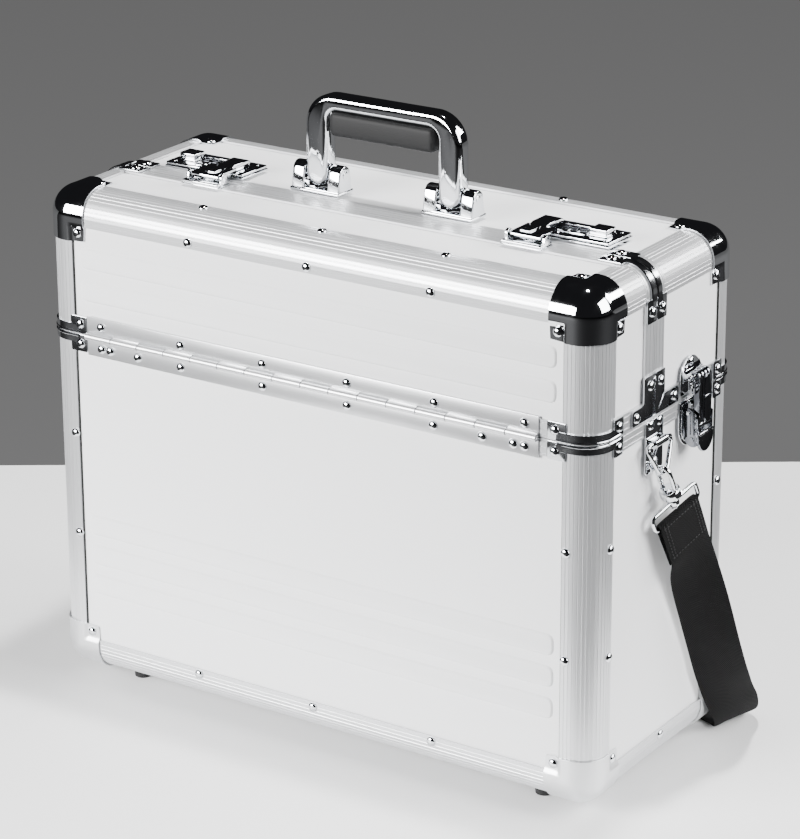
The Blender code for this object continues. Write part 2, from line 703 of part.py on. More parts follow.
def smooth_through(values, steps):
    """A Catmull-Rom curve through the values."""
    made = []
    for i in range(len(values) - 1):
        before = values[max(i - 1, 0)]
        a, b = values[i], values[i + 1]
        after = values[min(i + 2, len(values) - 1)]
        for k in range(steps):
            t = k / steps
            made.append(0.5 * (2 * a + (b - before) * t + (2 * before - 5 * a + 4 * b - after) * t * t
                               + (3 * a - before - 3 * b + after) * t ** 3))
    return made + [values[-1]]


def shoulder_strap():
    """The webbing as one plain flat solid from the right loop to the left."""
    middle = [Vector(at) * MM for at, _ in ROUTE]
    across = [Vector(way) for _, way in ROUTE]
    middle += [Vector((-p.x, p.y, p.z)) for p in middle[-2::-1]]
    across += [Vector((-w.x, w.y, w.z)) for w in across[-2::-1]]
    line, ways = smooth_through(middle, 3), smooth_through(across, 3)
    bm = bmesh.new()
    rings = []
    for i, (at, way) in enumerate(zip(line, ways)):
        along = (line[min(i + 1, len(line) - 1)] - line[max(i - 1, 0)]).normalized()
        wide = (way - way.dot(along) * along).normalized() * STRAP_W / 2
        thick = along.cross(wide).normalized() * STRAP_T / 2
        corners = (wide + thick, thick - wide, -wide - thick, wide - thick)
        rings.append([bm.verts.new(at + corner) for corner in corners])
    for a, b in zip(rings, rings[1:]):
        for k in range(4):
            bm.faces.new((a[k], a[(k + 1) % 4], b[(k + 1) % 4], b[k]))
    bm.faces.new(rings[0][::-1])
    bm.faces.new(rings[-1])
    return as_object(bm)


def strap_slider():
    """The adjusting slider, lying on the webbing behind the case."""
    y, high = ROUTE[-1][0][1] * MM, ROUTE[-1][0][2] * MM + STRAP_T / 2 + GAP
    half_x, half_y = 15 * MM, STRAP_W / 2 + 3 * MM
    plate = block((-half_x, y - half_y, high), (half_x, y + half_y, high + 2.6 * MM))
    holes = [block((x - 4.5 * MM, y - STRAP_W / 2, high - MM), (x + 4.5 * MM, y + STRAP_W / 2, high + 4 * MM))
             for x in (-7 * MM, 7 * MM)]
    return cut(plate, *holes)


# ---------------------------------------------------------------- assembly

def clear_scene():
    for old in list(bpy.data.objects):
        bpy.data.objects.remove(old)


def make_bodies():
    body("case", (0, 0, 0))
    body("front_wing", (0, -HINGE_Y, BELT))
    body("rear_wing", (0, HINGE_Y, BELT))
    body("handle", (0, HANDLE_Y, HANDLE_PIVOT), "rear_wing")
    for side, word in SIDES:
        body("lock_slide_" + word, (side * (LOCK_X + KNOB_U), LOCK_Y, TOP), "rear_wing")
        for i in (-1, 0, 1):
            body(f"dial_{word}_{i + 2}", (side * (LOCK_X + i * DIAL_PITCH), LOCK_Y, DIAL_Z),
                 "rear_wing")
        body("hasp_" + word, (side * (LOCK_X + HASP_U), HASP_Y, HASP_Z), "front_wing")
        body("latch_lever_" + word, (side * (HALF_L + LEVER_D), LATCH_Y, LEVER_Z))
        body("latch_claw_" + word, (side * (HALF_L + CLAW_D), LATCH_Y, CLAW_Z),
             "latch_lever_" + word)
        body("strap_ring_" + word, (side * (HALF_L + RING_D), ANCHOR_Y, RING_Z))
        hook = hook_place(side)
        body("snap_hook_" + word, hook @ Vector((0, 0, -20 * MM)), "strap_ring_" + word)
        body("hook_gate_" + word, hook @ Vector((*GATE_AT, -10 * MM)), "snap_hook_" + word)


SIDES = ((-1, "left"), (1, "right"))
ENDS = ((-1, "front"), (1, "rear"))


def make_case():
    aluminium = material("satin_aluminium_profile", "C9CBCE", 0.35, 1.0)
    panel = material("silver_laminate_panel", "E2E3E4", 0.45, 0.4)
    chrome = material("chrome_plated_steel", "D8DADC", 0.12, 1.0)
    satin = material("satin_steel", "BFC1C4", 0.35, 1.0)
    rubber = material("black_rubber", "18181A", 0.8, 0.0)
    piece(panels("case"), "body_tray", panel, "case")
    piece(frame("case"), "body_frame", aluminium, "case")
    for wing in ("front_wing", "rear_wing"):
        shell = panels(wing)
        if wing == "rear_wing":
            shell = cut(shell, *[lock_room(side, 0.5 * MM) for side, _ in SIDES])
        piece(shell, wing + "_panels", panel, wing)
        piece(frame(wing), wing + "_frame", aluminium, wing)
    for side_y, end in ENDS:
        for side_x, word in SIDES:
            piece(corner_cap(side_x, side_y, True), f"top_corner_{end}_{word}", chrome,
                  end + "_wing")
            piece(corner_cap(side_x, side_y, False), f"bottom_corner_{end}_{word}", satin, "case")
            piece(foot(side_x, side_y), f"foot_{end}_{word}", rubber, "case")
        piece(hinge_leaf(side_y, True), f"{end}_hinge_body_leaf", satin, "case")
        piece(hinge_leaf(side_y, False), f"{end}_hinge_wing_leaf", satin, end + "_wing")


def make_fittings():
    chrome = material("polished_chrome", "DADCDE", 0.08, 1.0)
    dark = material("dark_nickel", "55575B", 0.25, 1.0)
    soft = material("black_soft_grip", "232325", 0.6, 0.0)
    dial = material("dial_plastic", "C8C9CB", 0.3, 0.6)
    webbing = material("black_webbing", "151516", 0.85, 0.0)
    piece(handle_bow(), "handle_bow", chrome, "handle")
    piece(handle_grip(), "handle_grip", soft, "handle")
    for side, word in SIDES:
        piece(handle_base(side), "handle_base_" + word, chrome, "rear_wing")
        piece(lock_body(side), "lock_body_" + word, chrome, "rear_wing")
        piece(lock_knob(side), "lock_knob_" + word, chrome, "lock_slide_" + word)
        for i in (-1, 0, 1):
            name = f"dial_{word}_{i + 2}"
            piece(lock_dial(side, i), "lock_" + name, dial, name)
        piece(hasp_base(side), "hasp_base_" + word, chrome, "front_wing")
        piece(hasp(side), "hasp_arm_" + word, chrome, "hasp_" + word)
        piece(latch_base(side), "latch_base_" + word, chrome, "case")
        piece(latch_lever(side), "latch_lever_" + word, dark, "latch_lever_" + word)
        piece(latch_claw(side), "latch_claw_" + word, dark, "latch_claw_" + word)
        piece(latch_strike(side), "latch_strike_" + word, chrome, "rear_wing")
        piece(strap_anchor(side), "strap_anchor_" + word, chrome, "case")
        piece(strap_ring(side), "strap_ring_" + word, chrome, "strap_ring_" + word)
        piece(snap_hook(side), "snap_hook_" + word, chrome, "snap_hook_" + word)
        piece(hook_gate(side), "hook_gate_" + word, chrome, "hook_gate_" + word)
        piece(strap_loop(side), "strap_loop_" + word, chrome, "strap_ring_" + word)
    piece(shoulder_strap(), "shoulder_strap", webbing, "case")
    piece(strap_slider(), "strap_slider", chrome, "case")


clear_scene()
make_bodies()
make_case()
make_fittings()
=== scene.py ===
"""The finished pilot case: profiles, panels, pressed corners, hinges, locks, latches and strap.

Run as a script. Every piece is one operator, and the sizes and colours a user would change are in
the sidebar's panel.
"""

import json
from math import copysign, cos, pi, radians, sin

import bmesh
import bpy
from mathutils import Matrix, Vector


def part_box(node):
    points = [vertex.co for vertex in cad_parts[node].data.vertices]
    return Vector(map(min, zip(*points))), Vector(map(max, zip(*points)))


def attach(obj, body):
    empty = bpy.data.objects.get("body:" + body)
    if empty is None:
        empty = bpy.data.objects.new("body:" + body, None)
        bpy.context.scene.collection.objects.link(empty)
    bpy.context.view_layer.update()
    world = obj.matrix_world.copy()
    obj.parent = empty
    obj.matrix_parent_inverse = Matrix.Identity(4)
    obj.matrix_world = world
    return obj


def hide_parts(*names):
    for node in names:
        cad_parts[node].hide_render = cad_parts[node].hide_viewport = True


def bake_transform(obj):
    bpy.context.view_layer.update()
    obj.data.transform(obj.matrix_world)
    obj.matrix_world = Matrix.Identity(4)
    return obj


bl_info = {
    "name": "Aluminium Pilot Case",
    "version": (1, 0, 0),
    "blender": (4, 5, 0),
    "location": "View3D > Sidebar > Pilot Case",
    "description": "Builds the visible pieces of an aluminium pilot case on its frame",
    "category": "Object",
}

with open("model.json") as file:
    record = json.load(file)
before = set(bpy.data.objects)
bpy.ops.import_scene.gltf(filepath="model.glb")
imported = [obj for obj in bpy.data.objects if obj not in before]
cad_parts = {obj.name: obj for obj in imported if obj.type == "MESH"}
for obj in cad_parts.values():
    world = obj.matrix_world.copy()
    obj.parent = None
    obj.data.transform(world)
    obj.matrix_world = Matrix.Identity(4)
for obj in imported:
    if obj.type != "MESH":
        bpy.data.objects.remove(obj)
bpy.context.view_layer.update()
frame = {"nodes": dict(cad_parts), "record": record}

MM = 0.001

# Sizes read from the frame
BODY_LOW, BODY_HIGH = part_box("body_frame")
WING_LOW, WING_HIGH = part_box("rear_wing_frame")
HALF_L = BODY_HIGH[0]
HALF_W = BODY_HIGH[1]
BASE = BODY_LOW[2]
TOP = WING_HIGH[2]
BELT = (BODY_HIGH[2] + WING_LOW[2]) / 2
SEAM_Y = (WING_LOW[1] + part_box("front_wing_frame")[1][1]) / 2
PIVOT = {j["name"]: Vector(j["pos_m"]) for j in frame["record"]["behaviour"]["joints"] if "pos_m" in j}

# Shared sizes of the case's own construction
EDGE_R = 20 * MM
FLANGE = 25.4 * MM
RIM = 13 * MM
PROFILE_T = 1.5 * MM
PART_GAP = 0.25 * MM
SIT = 0.3 * MM          # how far a fitting stands off the face under it
PANEL_DROP = 1.8 * MM   # the panels' skin, below the profiles' face
CAP_END = 33 * MM       # where the profiles end, under the corner caps
CAP_SINK = -0.45 * MM   # the corner caps' tabs, on the panels
PLATE_T = 1.3 * MM      # pressed brackets and base plates
FOLD_T = 0.7 * MM       # bracket tabs that an open wing folds past
LEAF_T = 1.1 * MM       # hinge leaves

SIDES = ((-1, "left"), (1, "right"))
ENDS = ((-1, "front"), (1, "rear"))
# The faces, front or rear, that each body closes
BODY_ENDS = {"case": (-1, 1), "front_wing": (-1,), "rear_wing": (1,)}


# ---------------------------------------------------------------- settings

class CaseColours(bpy.types.PropertyGroup):
    """Colours of the finishes, as sRGB hex values."""
    aluminium: bpy.props.StringProperty(
        name="Aluminium", description="Anodised edge profiles", default="DADBDD")
    laminate: bpy.props.StringProperty(
        name="Laminate", description="Skin of the panels", default="E9EAEB")
    chrome: bpy.props.StringProperty(
        name="Chrome", description="Polished hardware", default="E4E6E9")
    satin: bpy.props.StringProperty(
        name="Satin nickel", description="Hinges and lower corners", default="DDDEE0")
    webbing: bpy.props.StringProperty(
        name="Webbing", description="Shoulder strap", default="101011")
    grip: bpy.props.StringProperty(
        name="Grip", description="Insert under the handle's bar", default="0B0B0C")
    # The rubber colour also paints the shadow strips beside the upright profiles
    rubber: bpy.props.StringProperty(
        name="Rubber", description="Feet", default="0C0C0D")
    floor: bpy.props.StringProperty(
        name="Floor", description="Studio floor", default="EFEFEF")


class CaseSizes(bpy.types.PropertyGroup):
    """Sizes that can change without touching the frame."""
    flute_pitch: bpy.props.FloatProperty(
        name="Flute pitch", description="Distance between the flutes of the edge profiles",
        default=3.0 * MM, unit="LENGTH", subtype="DISTANCE", precision=4)
    flute_depth: bpy.props.FloatProperty(
        name="Flute depth", description="Depth of the flutes",
        default=0.18 * MM, unit="LENGTH", subtype="DISTANCE", precision=5)
    rivet_radius: bpy.props.FloatProperty(
        name="Rivet radius", description="Radius of the domed rivet heads",
        default=3.7 * MM, unit="LENGTH", subtype="DISTANCE", precision=4)
    rib_height: bpy.props.FloatProperty(
        name="Rib height", description="Height of the ribs pressed in the panels, across the rib",
        default=16.5 * MM, unit="LENGTH", subtype="DISTANCE", precision=4)
    rib_rise: bpy.props.FloatProperty(
        name="Rib rise", description="How far the ribs stand out of the panel",
        default=1.3 * MM, unit="LENGTH", subtype="DISTANCE", precision=5)
    strap_width: bpy.props.FloatProperty(
        name="Strap width", description="Width of the shoulder webbing",
        default=38 * MM, unit="LENGTH", subtype="DISTANCE", precision=4)


def colours():
    """The colours set in the sidebar."""
    return bpy.context.scene.case_colours


def sizes():
    """The sizes set in the sidebar."""
    return bpy.context.scene.case_sizes


# ---------------------------------------------------------------- materials

def linear(colour):
    """An sRGB hex colour as linear RGBA."""
    channels = [int(colour[i:i + 2], 16) / 255 for i in (0, 2, 4)]
    return (*[((c + 0.055) / 1.055) ** 2.4 if c > 0.04045 else c / 12.92 for c in channels], 1)


def node(tree, kind, inputs=None, **settings):
    """Adds a node with its settings. An input is a value, or the output socket it is linked to."""
    made = tree.nodes.new(kind)
    for name, value in settings.items():
        setattr(made, name, value)
    for name, value in (inputs or {}).items():
        if isinstance(value, bpy.types.NodeSocket):
            tree.links.new(value, made.inputs[name])
        else:
            made.inputs[name].default_value = value
    return made


def finish(name):
    """An empty material with its Principled shader, or the one of that name with no shader to fill."""
    known = bpy.data.materials.get(name)
    if known:
        return known, None, None
    made = bpy.data.materials.new(name)
    made.use_nodes = True
    return made, made.node_tree, made.node_tree.nodes["Principled BSDF"]


def brushed_anodised_aluminium():
    """Extruded and anodised: a soft white metal with fine die lines along each bar."""
    made, tree, shader = finish("brushed_anodised_aluminium")
    if not shader:
        return made
    shader.inputs["Base Color"].default_value = linear(colours().aluminium)
    shader.inputs["Metallic"].default_value = 0.68
    place = node(tree, "ShaderNodeUVMap", uv_map="UVMap").outputs[0]
    # Die lines 0.5 mm apart across the bar and some 80 mm long
    lines = node(tree, "ShaderNodeMapping", {"Vector": place, "Scale": (12, 2000, 1)}).outputs[0]
    streaks = node(tree, "ShaderNodeTexNoise", {"Vector": lines, "Scale": 1.0, "Detail": 3.0}).outputs[0]
    rough = node(tree, "ShaderNodeMapRange", {"Value": streaks, "To Min": 0.27, "To Max": 0.43})
    tree.links.new(rough.outputs[0], shader.inputs["Roughness"])
    relief = node(tree, "ShaderNodeBump", {"Height": streaks, "Strength": 0.12, "Distance": 0.00006})
    tree.links.new(relief.outputs[0], shader.inputs["Normal"])
    return made


def silver_laminate():
    """A lacquered silver sheet on board: pale, smooth, with a soft gloss and slight orange peel."""
    made, tree, shader = finish("silver_laminate")
    if not shader:
        return made
    shader.inputs["Base Color"].default_value = linear(colours().laminate)
    shader.inputs["Metallic"].default_value = 0.8
    shader.inputs["Coat Weight"].default_value = 0.5
    shader.inputs["Coat Roughness"].default_value = 0.12
    place = node(tree, "ShaderNodeTexCoord").outputs["Object"]
    # Orange peel in 3 mm swells
    peel = node(tree, "ShaderNodeTexNoise", {"Vector": place, "Scale": 330.0, "Detail": 1.0}).outputs[0]
    # Grain of the metal flakes, drawn at 0.6 mm
    flake = node(tree, "ShaderNodeTexNoise", {"Vector": place, "Scale": 1600.0, "Detail": 2.0}).outputs[0]
    rough = node(tree, "ShaderNodeMapRange", {"Value": flake, "To Min": 0.3, "To Max": 0.4})
    tree.links.new(rough.outputs[0], shader.inputs["Roughness"])
    relief = node(tree, "ShaderNodeBump", {"Height": peel, "Strength": 0.1, "Distance": 0.00008})
    tree.links.new(relief.outputs[0], shader.inputs["Normal"])
    return made


def mirror_chrome_plate(name="mirror_chrome_plate", colour=None, rough=(0.03, 0.09)):
    """Pressed steel, polished and chrome plated: a sharp mirror with faint handling haze."""
    made, tree, shader = finish(name)
    if not shader:
        return made
    shader.inputs["Base Color"].default_value = linear(colour or colours().chrome)
    shader.inputs["Metallic"].default_value = 1.0
    place = node(tree, "ShaderNodeTexCoord").outputs["Object"]
    # Haze in patches of about 8 mm
    haze = node(tree, "ShaderNodeTexNoise", {"Vector": place, "Scale": 120.0, "Detail": 4.0}).outputs[0]
    spread = node(tree, "ShaderNodeMapRange", {"Value": haze, "From Min": 0.35, "From Max": 0.75,
                                               "To Min": rough[0], "To Max": rough[1]})
    tree.links.new(spread.outputs[0], shader.inputs["Roughness"])
    return made


def satin_steel():
    """Satin finished steel of the lower corners: soft highlights and a grey shade side."""
    return mirror_chrome_plate("satin_steel", "B4B6B9", (0.2, 0.28))


def nickel_plated_strip():
    """Pressed nickel strip of the brackets: a greyer, slightly blurred mirror."""
    return mirror_chrome_plate("nickel_plated_strip", "C9CBCE", (0.1, 0.2))


def dark_nickel_plate():
    """Black nickel on the latch's moving parts: a dark, slightly warm mirror."""
    return mirror_chrome_plate("dark_nickel_plate", "96989D", (0.06, 0.14))


def satin_nickel_plate():
    """Brushed steel with satin nickel: a silky pale metal, no lines visible from an arm away."""
    made, tree, shader = finish("satin_nickel_plate")
    if not shader:
        return made
    shader.inputs["Base Color"].default_value = linear(colours().satin)
    shader.inputs["Metallic"].default_value = 0.75
    place = node(tree, "ShaderNodeTexCoord").outputs["Object"]
    # Brushing lines along X, 0.4 mm apart
    lines = node(tree, "ShaderNodeMapping", {"Vector": place, "Scale": (40, 2500, 2500)}).outputs[0]
    grain = node(tree, "ShaderNodeTexNoise", {"Vector": lines, "Scale": 1.0, "Detail": 2.0}).outputs[0]
    rough = node(tree, "ShaderNodeMapRange", {"Value": grain, "To Min": 0.26, "To Max": 0.38})
    tree.links.new(rough.outputs[0], shader.inputs["Roughness"])
    relief = node(tree, "ShaderNodeBump", {"Height": grain, "Strength": 0.08, "Distance": 0.00004})
    tree.links.new(relief.outputs[0], shader.inputs["Normal"])
    return made


def soft_touch_grip():
    """Moulded soft PVC: charcoal, matt, with a fine pebbled skin."""
    made, tree, shader = finish("soft_touch_grip")
    if not shader:
        return made
    shader.inputs["Base Color"].default_value = linear(colours().grip)
    shader.inputs["Roughness"].default_value = 0.6
    shader.inputs["Specular IOR Level"].default_value = 0.3
    place = node(tree, "ShaderNodeTexCoord").outputs["Object"]
    # Pebbles 0.9 mm across
    skin = node(tree, "ShaderNodeTexVoronoi", {"Vector": place, "Scale": 1100.0}).outputs["Distance"]
    relief = node(tree, "ShaderNodeBump", {"Height": skin, "Strength": 0.35, "Distance": 0.0002})
    tree.links.new(relief.outputs[0], shader.inputs["Normal"])
    return made


def rubber_and_painted_shadow():
    """Black rubber feet: matt, with a dusty bloom. The same colour also paints the shadow strips beside
    the upright profiles.
    """
    made, tree, shader = finish("rubber_and_painted_shadow")
    if not shader:
        return made
    place = node(tree, "ShaderNodeTexCoord").outputs["Object"]
    # Bloom in 5 mm clouds
    bloom = node(tree, "ShaderNodeTexNoise", {"Vector": place, "Scale": 200.0, "Detail": 3.0}).outputs[0]
    tint = node(tree, "ShaderNodeMix", {"Factor": bloom, "A": linear(colours().rubber),
                                        "B": linear("1A1A1B")}, data_type="RGBA")
    tree.links.new(tint.outputs["Result"], shader.inputs["Base Color"])
    shader.inputs["Roughness"].default_value = 0.72
    return made


def nylon_webbing():
    """Woven black nylon: a herringbone of 2 mm ribs in four columns, with a dull sheen and painted shade
    in the weave's valleys.
    """
    made, tree, shader = finish("nylon_webbing")
    if not shader:
        return made
    place = node(tree, "ShaderNodeUVMap", uv_map="UVMap").outputs[0]
    apart = node(tree, "ShaderNodeSeparateXYZ", {"Vector": place})
    # Zigzag across the strap: one fold of the herringbone is 9.5 mm wide
    fold = node(tree, "ShaderNodeMath", {0: apart.outputs[1], 1: 0.0095}, operation="PINGPONG").outputs[0]
    along = node(tree, "ShaderNodeMath", {0: apart.outputs[0], 1: fold}, operation="ADD").outputs[0]
    # Ribs 2 mm apart along the strap
    turns = node(tree, "ShaderNodeMath", {0: along, 1: 2 * pi / 0.002}, operation="MULTIPLY").outputs[0]
    rib = node(tree, "ShaderNodeMath", {0: turns}, operation="SINE").outputs[0]
    # Threads 0.5 mm apart, lengthwise
    fine = node(tree, "ShaderNodeMath", {0: apart.outputs[1], 1: 2 * pi / 0.0005},
                operation="MULTIPLY").outputs[0]
    thread = node(tree, "ShaderNodeMath", {0: fine}, operation="SINE").outputs[0]
    height = node(tree, "ShaderNodeMath", {0: thread, 1: 0.3, 2: rib},
                  operation="MULTIPLY_ADD").outputs[0]
    # The colour darkens with the weave's height: painted shade in the valleys between the ribs and the
    # threads
    shade = node(tree, "ShaderNodeMapRange", {"Value": height, "From Min": -1.3, "From Max": 1.3})
    tint = node(tree, "ShaderNodeMix", {"Factor": shade.outputs[0], "A": linear("050505"),
                                        "B": linear(colours().webbing)}, data_type="RGBA")
    tree.links.new(tint.outputs["Result"], shader.inputs["Base Color"])
    relief = node(tree, "ShaderNodeBump", {"Height": height, "Strength": 0.5, "Distance": 0.00025})
    tree.links.new(relief.outputs[0], shader.inputs["Normal"])
    shader.inputs["Roughness"].default_value = 0.85
    shader.inputs["Specular IOR Level"].default_value = 0.2
    return made


def stitching_thread():
    """Bonded polyester thread, a shade lighter than the webbing."""
    made, tree, shader = finish("stitching_thread")
    if not shader:
        return made
    place = node(tree, "ShaderNodeTexCoord").outputs["Object"]
    # Twist of the plies, 0.3 mm
    ply = node(tree, "ShaderNodeTexNoise", {"Vector": place, "Scale": 3300.0}).outputs[0]
    tint = node(tree, "ShaderNodeMix", {"Factor": ply, "A": linear("121213"), "B": linear("202022")},
                data_type="RGBA")
    tree.links.new(tint.outputs["Result"], shader.inputs["Base Color"])
    shader.inputs["Roughness"].default_value = 0.6
    return made


def shade_darkened_dial_chrome():
    """Number wheels: turned steel in satin chrome, with blurred highlights on the teeth; the colour is
    darkened all over as painted shade, to read as dark as the windows they turn in.
    """
    # Colour 7C7E82: painted shade, darker than the chrome of the rest of the lock
    return mirror_chrome_plate("shade_darkened_dial_chrome", "7C7E82", (0.15, 0.25))


# ---------------------------------------------------------------- mesh helpers

def put(target, part):
    """Adds one bmesh to another."""
    mesh = bpy.data.meshes.new("part")
    part.to_mesh(mesh)
    part.free()
    target.from_mesh(mesh)
    bpy.data.meshes.remove(mesh)


def soften(bm, width, segments=3, angle=30):
    """Rounds every edge sharper than the angle."""
    bmesh.ops.recalc_face_normals(bm, faces=bm.faces)
    sharp = [e for e in bm.edges if len(e.link_faces) == 2 and e.calc_face_angle(0) > radians(angle)]
    if width and sharp:
        bmesh.ops.bevel(bm, geom=sharp, offset=width, segments=segments, profile=0.5,
                        affect="EDGES", clamp_overlap=True)
    return bm


def span(a, b):
    """Two limits, the lower one first."""
    return (min(a, b), max(a, b))


def box(low, high, bevel=0.3 * MM, segments=2):
    """A block between two corners, its edges rounded."""
    bm = bmesh.new()
    bmesh.ops.create_cube(bm, size=1)
    low, high = Vector(low), Vector(high)
    place = Matrix.Translation((low + high) / 2) @ Matrix.Diagonal((*(high - low), 1))
    bmesh.ops.transform(bm, matrix=place, verts=bm.verts)
    return soften(bm, bevel, segments)


def step_plate(low, high, inset, bottom, top, bevel=0.3 * MM, segments=2):
    """A level plate set in from the limits of a fitting, between two heights."""
    return box((low[0] + inset, low[1] + inset, bottom), (high[0] - inset, high[1] - inset, top),
               bevel, segments)


def rod(start, end, radius, bevel=0.0, sides=32, tip=None):
    """A round bar, or a cone when its tip has another radius."""
    start, end = Vector(start), Vector(end)
    bm = bmesh.new()
    bmesh.ops.create_cone(bm, cap_ends=True, segments=sides, radius1=radius,
                          radius2=radius if tip is None else tip, depth=(end - start).length)
    turn = (end - start).to_track_quat("Z", "Y").to_matrix().to_4x4()
    bmesh.ops.transform(bm, matrix=Matrix.Translation((start + end) / 2) @ turn, verts=bm.verts)
    return soften(bm, bevel, 3, 60)


def slab(outline, low, high, axis, bevel=0.3 * MM, segments=2):
    """An outline extruded along an axis. Its points give the other two coordinates in order."""
    place = {"X": lambda a, b, c: (c, a, b), "Y": lambda a, b, c: (a, c, b),
             "Z": lambda a, b, c: (a, b, c)}[axis]
    bm = bmesh.new()
    face = bm.faces.new([bm.verts.new(place(a, b, low)) for a, b in outline])
    grown = bmesh.ops.extrude_face_region(bm, geom=[face])
    moved = [v for v in grown["geom"] if isinstance(v, bmesh.types.BMVert)]
    bmesh.ops.translate(bm, vec=place(0, 0, high - low), verts=moved)
    return soften(bm, bevel, segments)


def arc(centre, radius, start, end, steps):
    """Points on an arc, angles in degrees."""
    angles = [radians(start + (end - start) * i / steps) for i in range(steps + 1)]
    return [(centre[0] + radius * cos(a), centre[1] + radius * sin(a)) for a in angles]


def rounded(corners, radius, steps=5):
    """A closed outline with its corners rounded."""
    made = []
    for i, corner in enumerate(corners):
        here = Vector(corner)
        back = (Vector(corners[i - 1]) - here)
        on = (Vector(corners[(i + 1) % len(corners)]) - here)
        reach = min(radius, back.length / 2, on.length / 2)
        a, b = here + back.normalized() * reach, here + on.normalized() * reach
        for k in range(steps + 1):
            t = k / steps
            made.append(tuple((1 - t) ** 2 * a + 2 * t * (1 - t) * here + t * t * b))
    return made


def sweep(section, stations, closed=False):
    """Carries a section along stations of (origin, side direction, up direction), with a UV map."""
    bm = bmesh.new()
    layer = bm.loops.layers.uv.new("UVMap")
    rings, lengths = [], [0.0]
    for i, (at, side, up) in enumerate(stations):
        rings.append([bm.verts.new(Vector(at) + Vector(side) * a + Vector(up) * b) for a, b in section])
        if i:
            lengths.append(lengths[-1] + (Vector(at) - Vector(stations[i - 1][0])).length)
    around = [0.0]
    for (a, b), (c, d) in zip(section, section[1:] + section[:1]):
        around.append(around[-1] + ((c - a) ** 2 + (d - b) ** 2) ** 0.5)
    count = len(section)
    steps = list(range(len(rings) - 1)) + ([len(rings) - 1] if closed else [])
    for i in steps:
        j = (i + 1) % len(rings)
        for k in range(count):
            n = (k + 1) % count
            face = bm.faces.new((rings[i][k], rings[i][n], rings[j][n], rings[j][k]))
            ends = (lengths[i], lengths[i], lengths[i + 1] if i + 1 < len(lengths) else lengths[i],
                    lengths[i + 1] if i + 1 < len(lengths) else lengths[i])
            acrosses = (around[k], around[k + 1], around[k + 1], around[k])
            for loop, u, v in zip(face.loops, ends, acrosses):
                loop[layer].uv = (u, v)
    if not closed:
        bm.faces.new(rings[0][::-1])
        bm.faces.new(rings[-1])
    bmesh.ops.recalc_face_normals(bm, faces=bm.faces)
    return bm


def circle(radius, sides=16):
    """A round section."""
    return [(radius * cos(2 * pi * i / sides), radius * sin(2 * pi * i / sides)) for i in range(sides)]


def wire(points, radius, closed=False, sides=16):
    """A round wire through the points."""
    points = [Vector(p) for p in points]
    stations = []
    up = None
    for i, at in enumerate(points):
        before = points[i - 1] if i or closed else at
        after = points[(i + 1) % len(points)] if i + 1 < len(points) or closed else at
        along = (after - before).normalized()
        if up is None:
            up = Vector((0.31, 0.17, 0.93))
        up = (up - up.dot(along) * along).normalized()
        stations.append((at, along.cross(up), up))
    return sweep(circle(radius, sides), stations, closed)


def through(points, steps, closed=False):
    """A Catmull-Rom curve through the points."""
    points = [Vector(p) for p in points]
    count = len(points)
    made = []
    for i in range(count if closed else count - 1):
        if closed:
            p0, p1, p2, p3 = (points[(i + k) % count] for k in (-1, 0, 1, 2))
        else:
            p0, p1, p2, p3 = (points[min(max(i + k, 0), count - 1)] for k in (-1, 0, 1, 2))
        for k in range(steps):
            t = k / steps
            made.append(0.5 * (2 * p1 + (p2 - p0) * t + (2 * p0 - 5 * p1 + 4 * p2 - p3) * t * t
                               + (3 * p1 - p0 - 3 * p2 + p3) * t ** 3))
    return made if closed else made + [points[-1]]


def mirrored(bm, side):
    """The part as it is on the right, or its mirror image on the left."""
    if side < 0:
        bmesh.ops.scale(bm, vec=(-1, 1, 1), verts=bm.verts)
        bmesh.ops.reverse_faces(bm, faces=bm.faces)
    return bm


def cut_with(bm, cutters):
    """The solid with the cutters taken out, by an exact Boolean."""
    target = as_object(bm, "cut_target")
    tools = [as_object(c, "cutter") for c in cutters]
    for tool in tools:
        step = target.modifiers.new("cut", "BOOLEAN")
        step.operation = "DIFFERENCE"
        step.object = tool
        step.solver = "EXACT"
    made = plain_mesh(target)
    bm = bmesh.new()
    bm.from_mesh(made)
    bpy.data.meshes.remove(made)
    for used in [target] + tools:
        bpy.data.objects.remove(used)
    return bm


def as_object(bm, name):
    """Turns a bmesh into an object of the scene."""
    mesh = bpy.data.meshes.new(name)
    bm.to_mesh(mesh)
    bm.free()
    made = bpy.data.objects.new(name, mesh)
    bpy.context.scene.collection.objects.link(made)
    return made


def plain_mesh(obj):
    """The object's mesh with its modifiers applied."""
    bpy.context.view_layer.update()
    return bpy.data.meshes.new_from_object(obj.evaluated_get(bpy.context.evaluated_depsgraph_get()))


def smooth(mesh, angle=35):
    """Smooth shading, with the edges sharper than the angle kept crisp."""
    mesh.shade_smooth()
    mesh.set_sharp_from_angle(angle=radians(angle))


def piece(bm, name, material, body, replaces=(), angle=35):
    """Names a finished part, gives it its finish and hangs it on its body."""
    made = as_object(bm, name)
    made.data.materials.append(material)
    smooth(made.data, angle)
    if body:
        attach(made, body)
    if replaces:
        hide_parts(*replaces)
    return made


def refinish(node_name, material):
    """Gives a node of the frame that stays visible its finish."""
    mesh = frame["nodes"][node_name].data
    mesh.materials.clear()
    mesh.materials.append(material)


# ---------------------------------------------------------------- geometry nodes

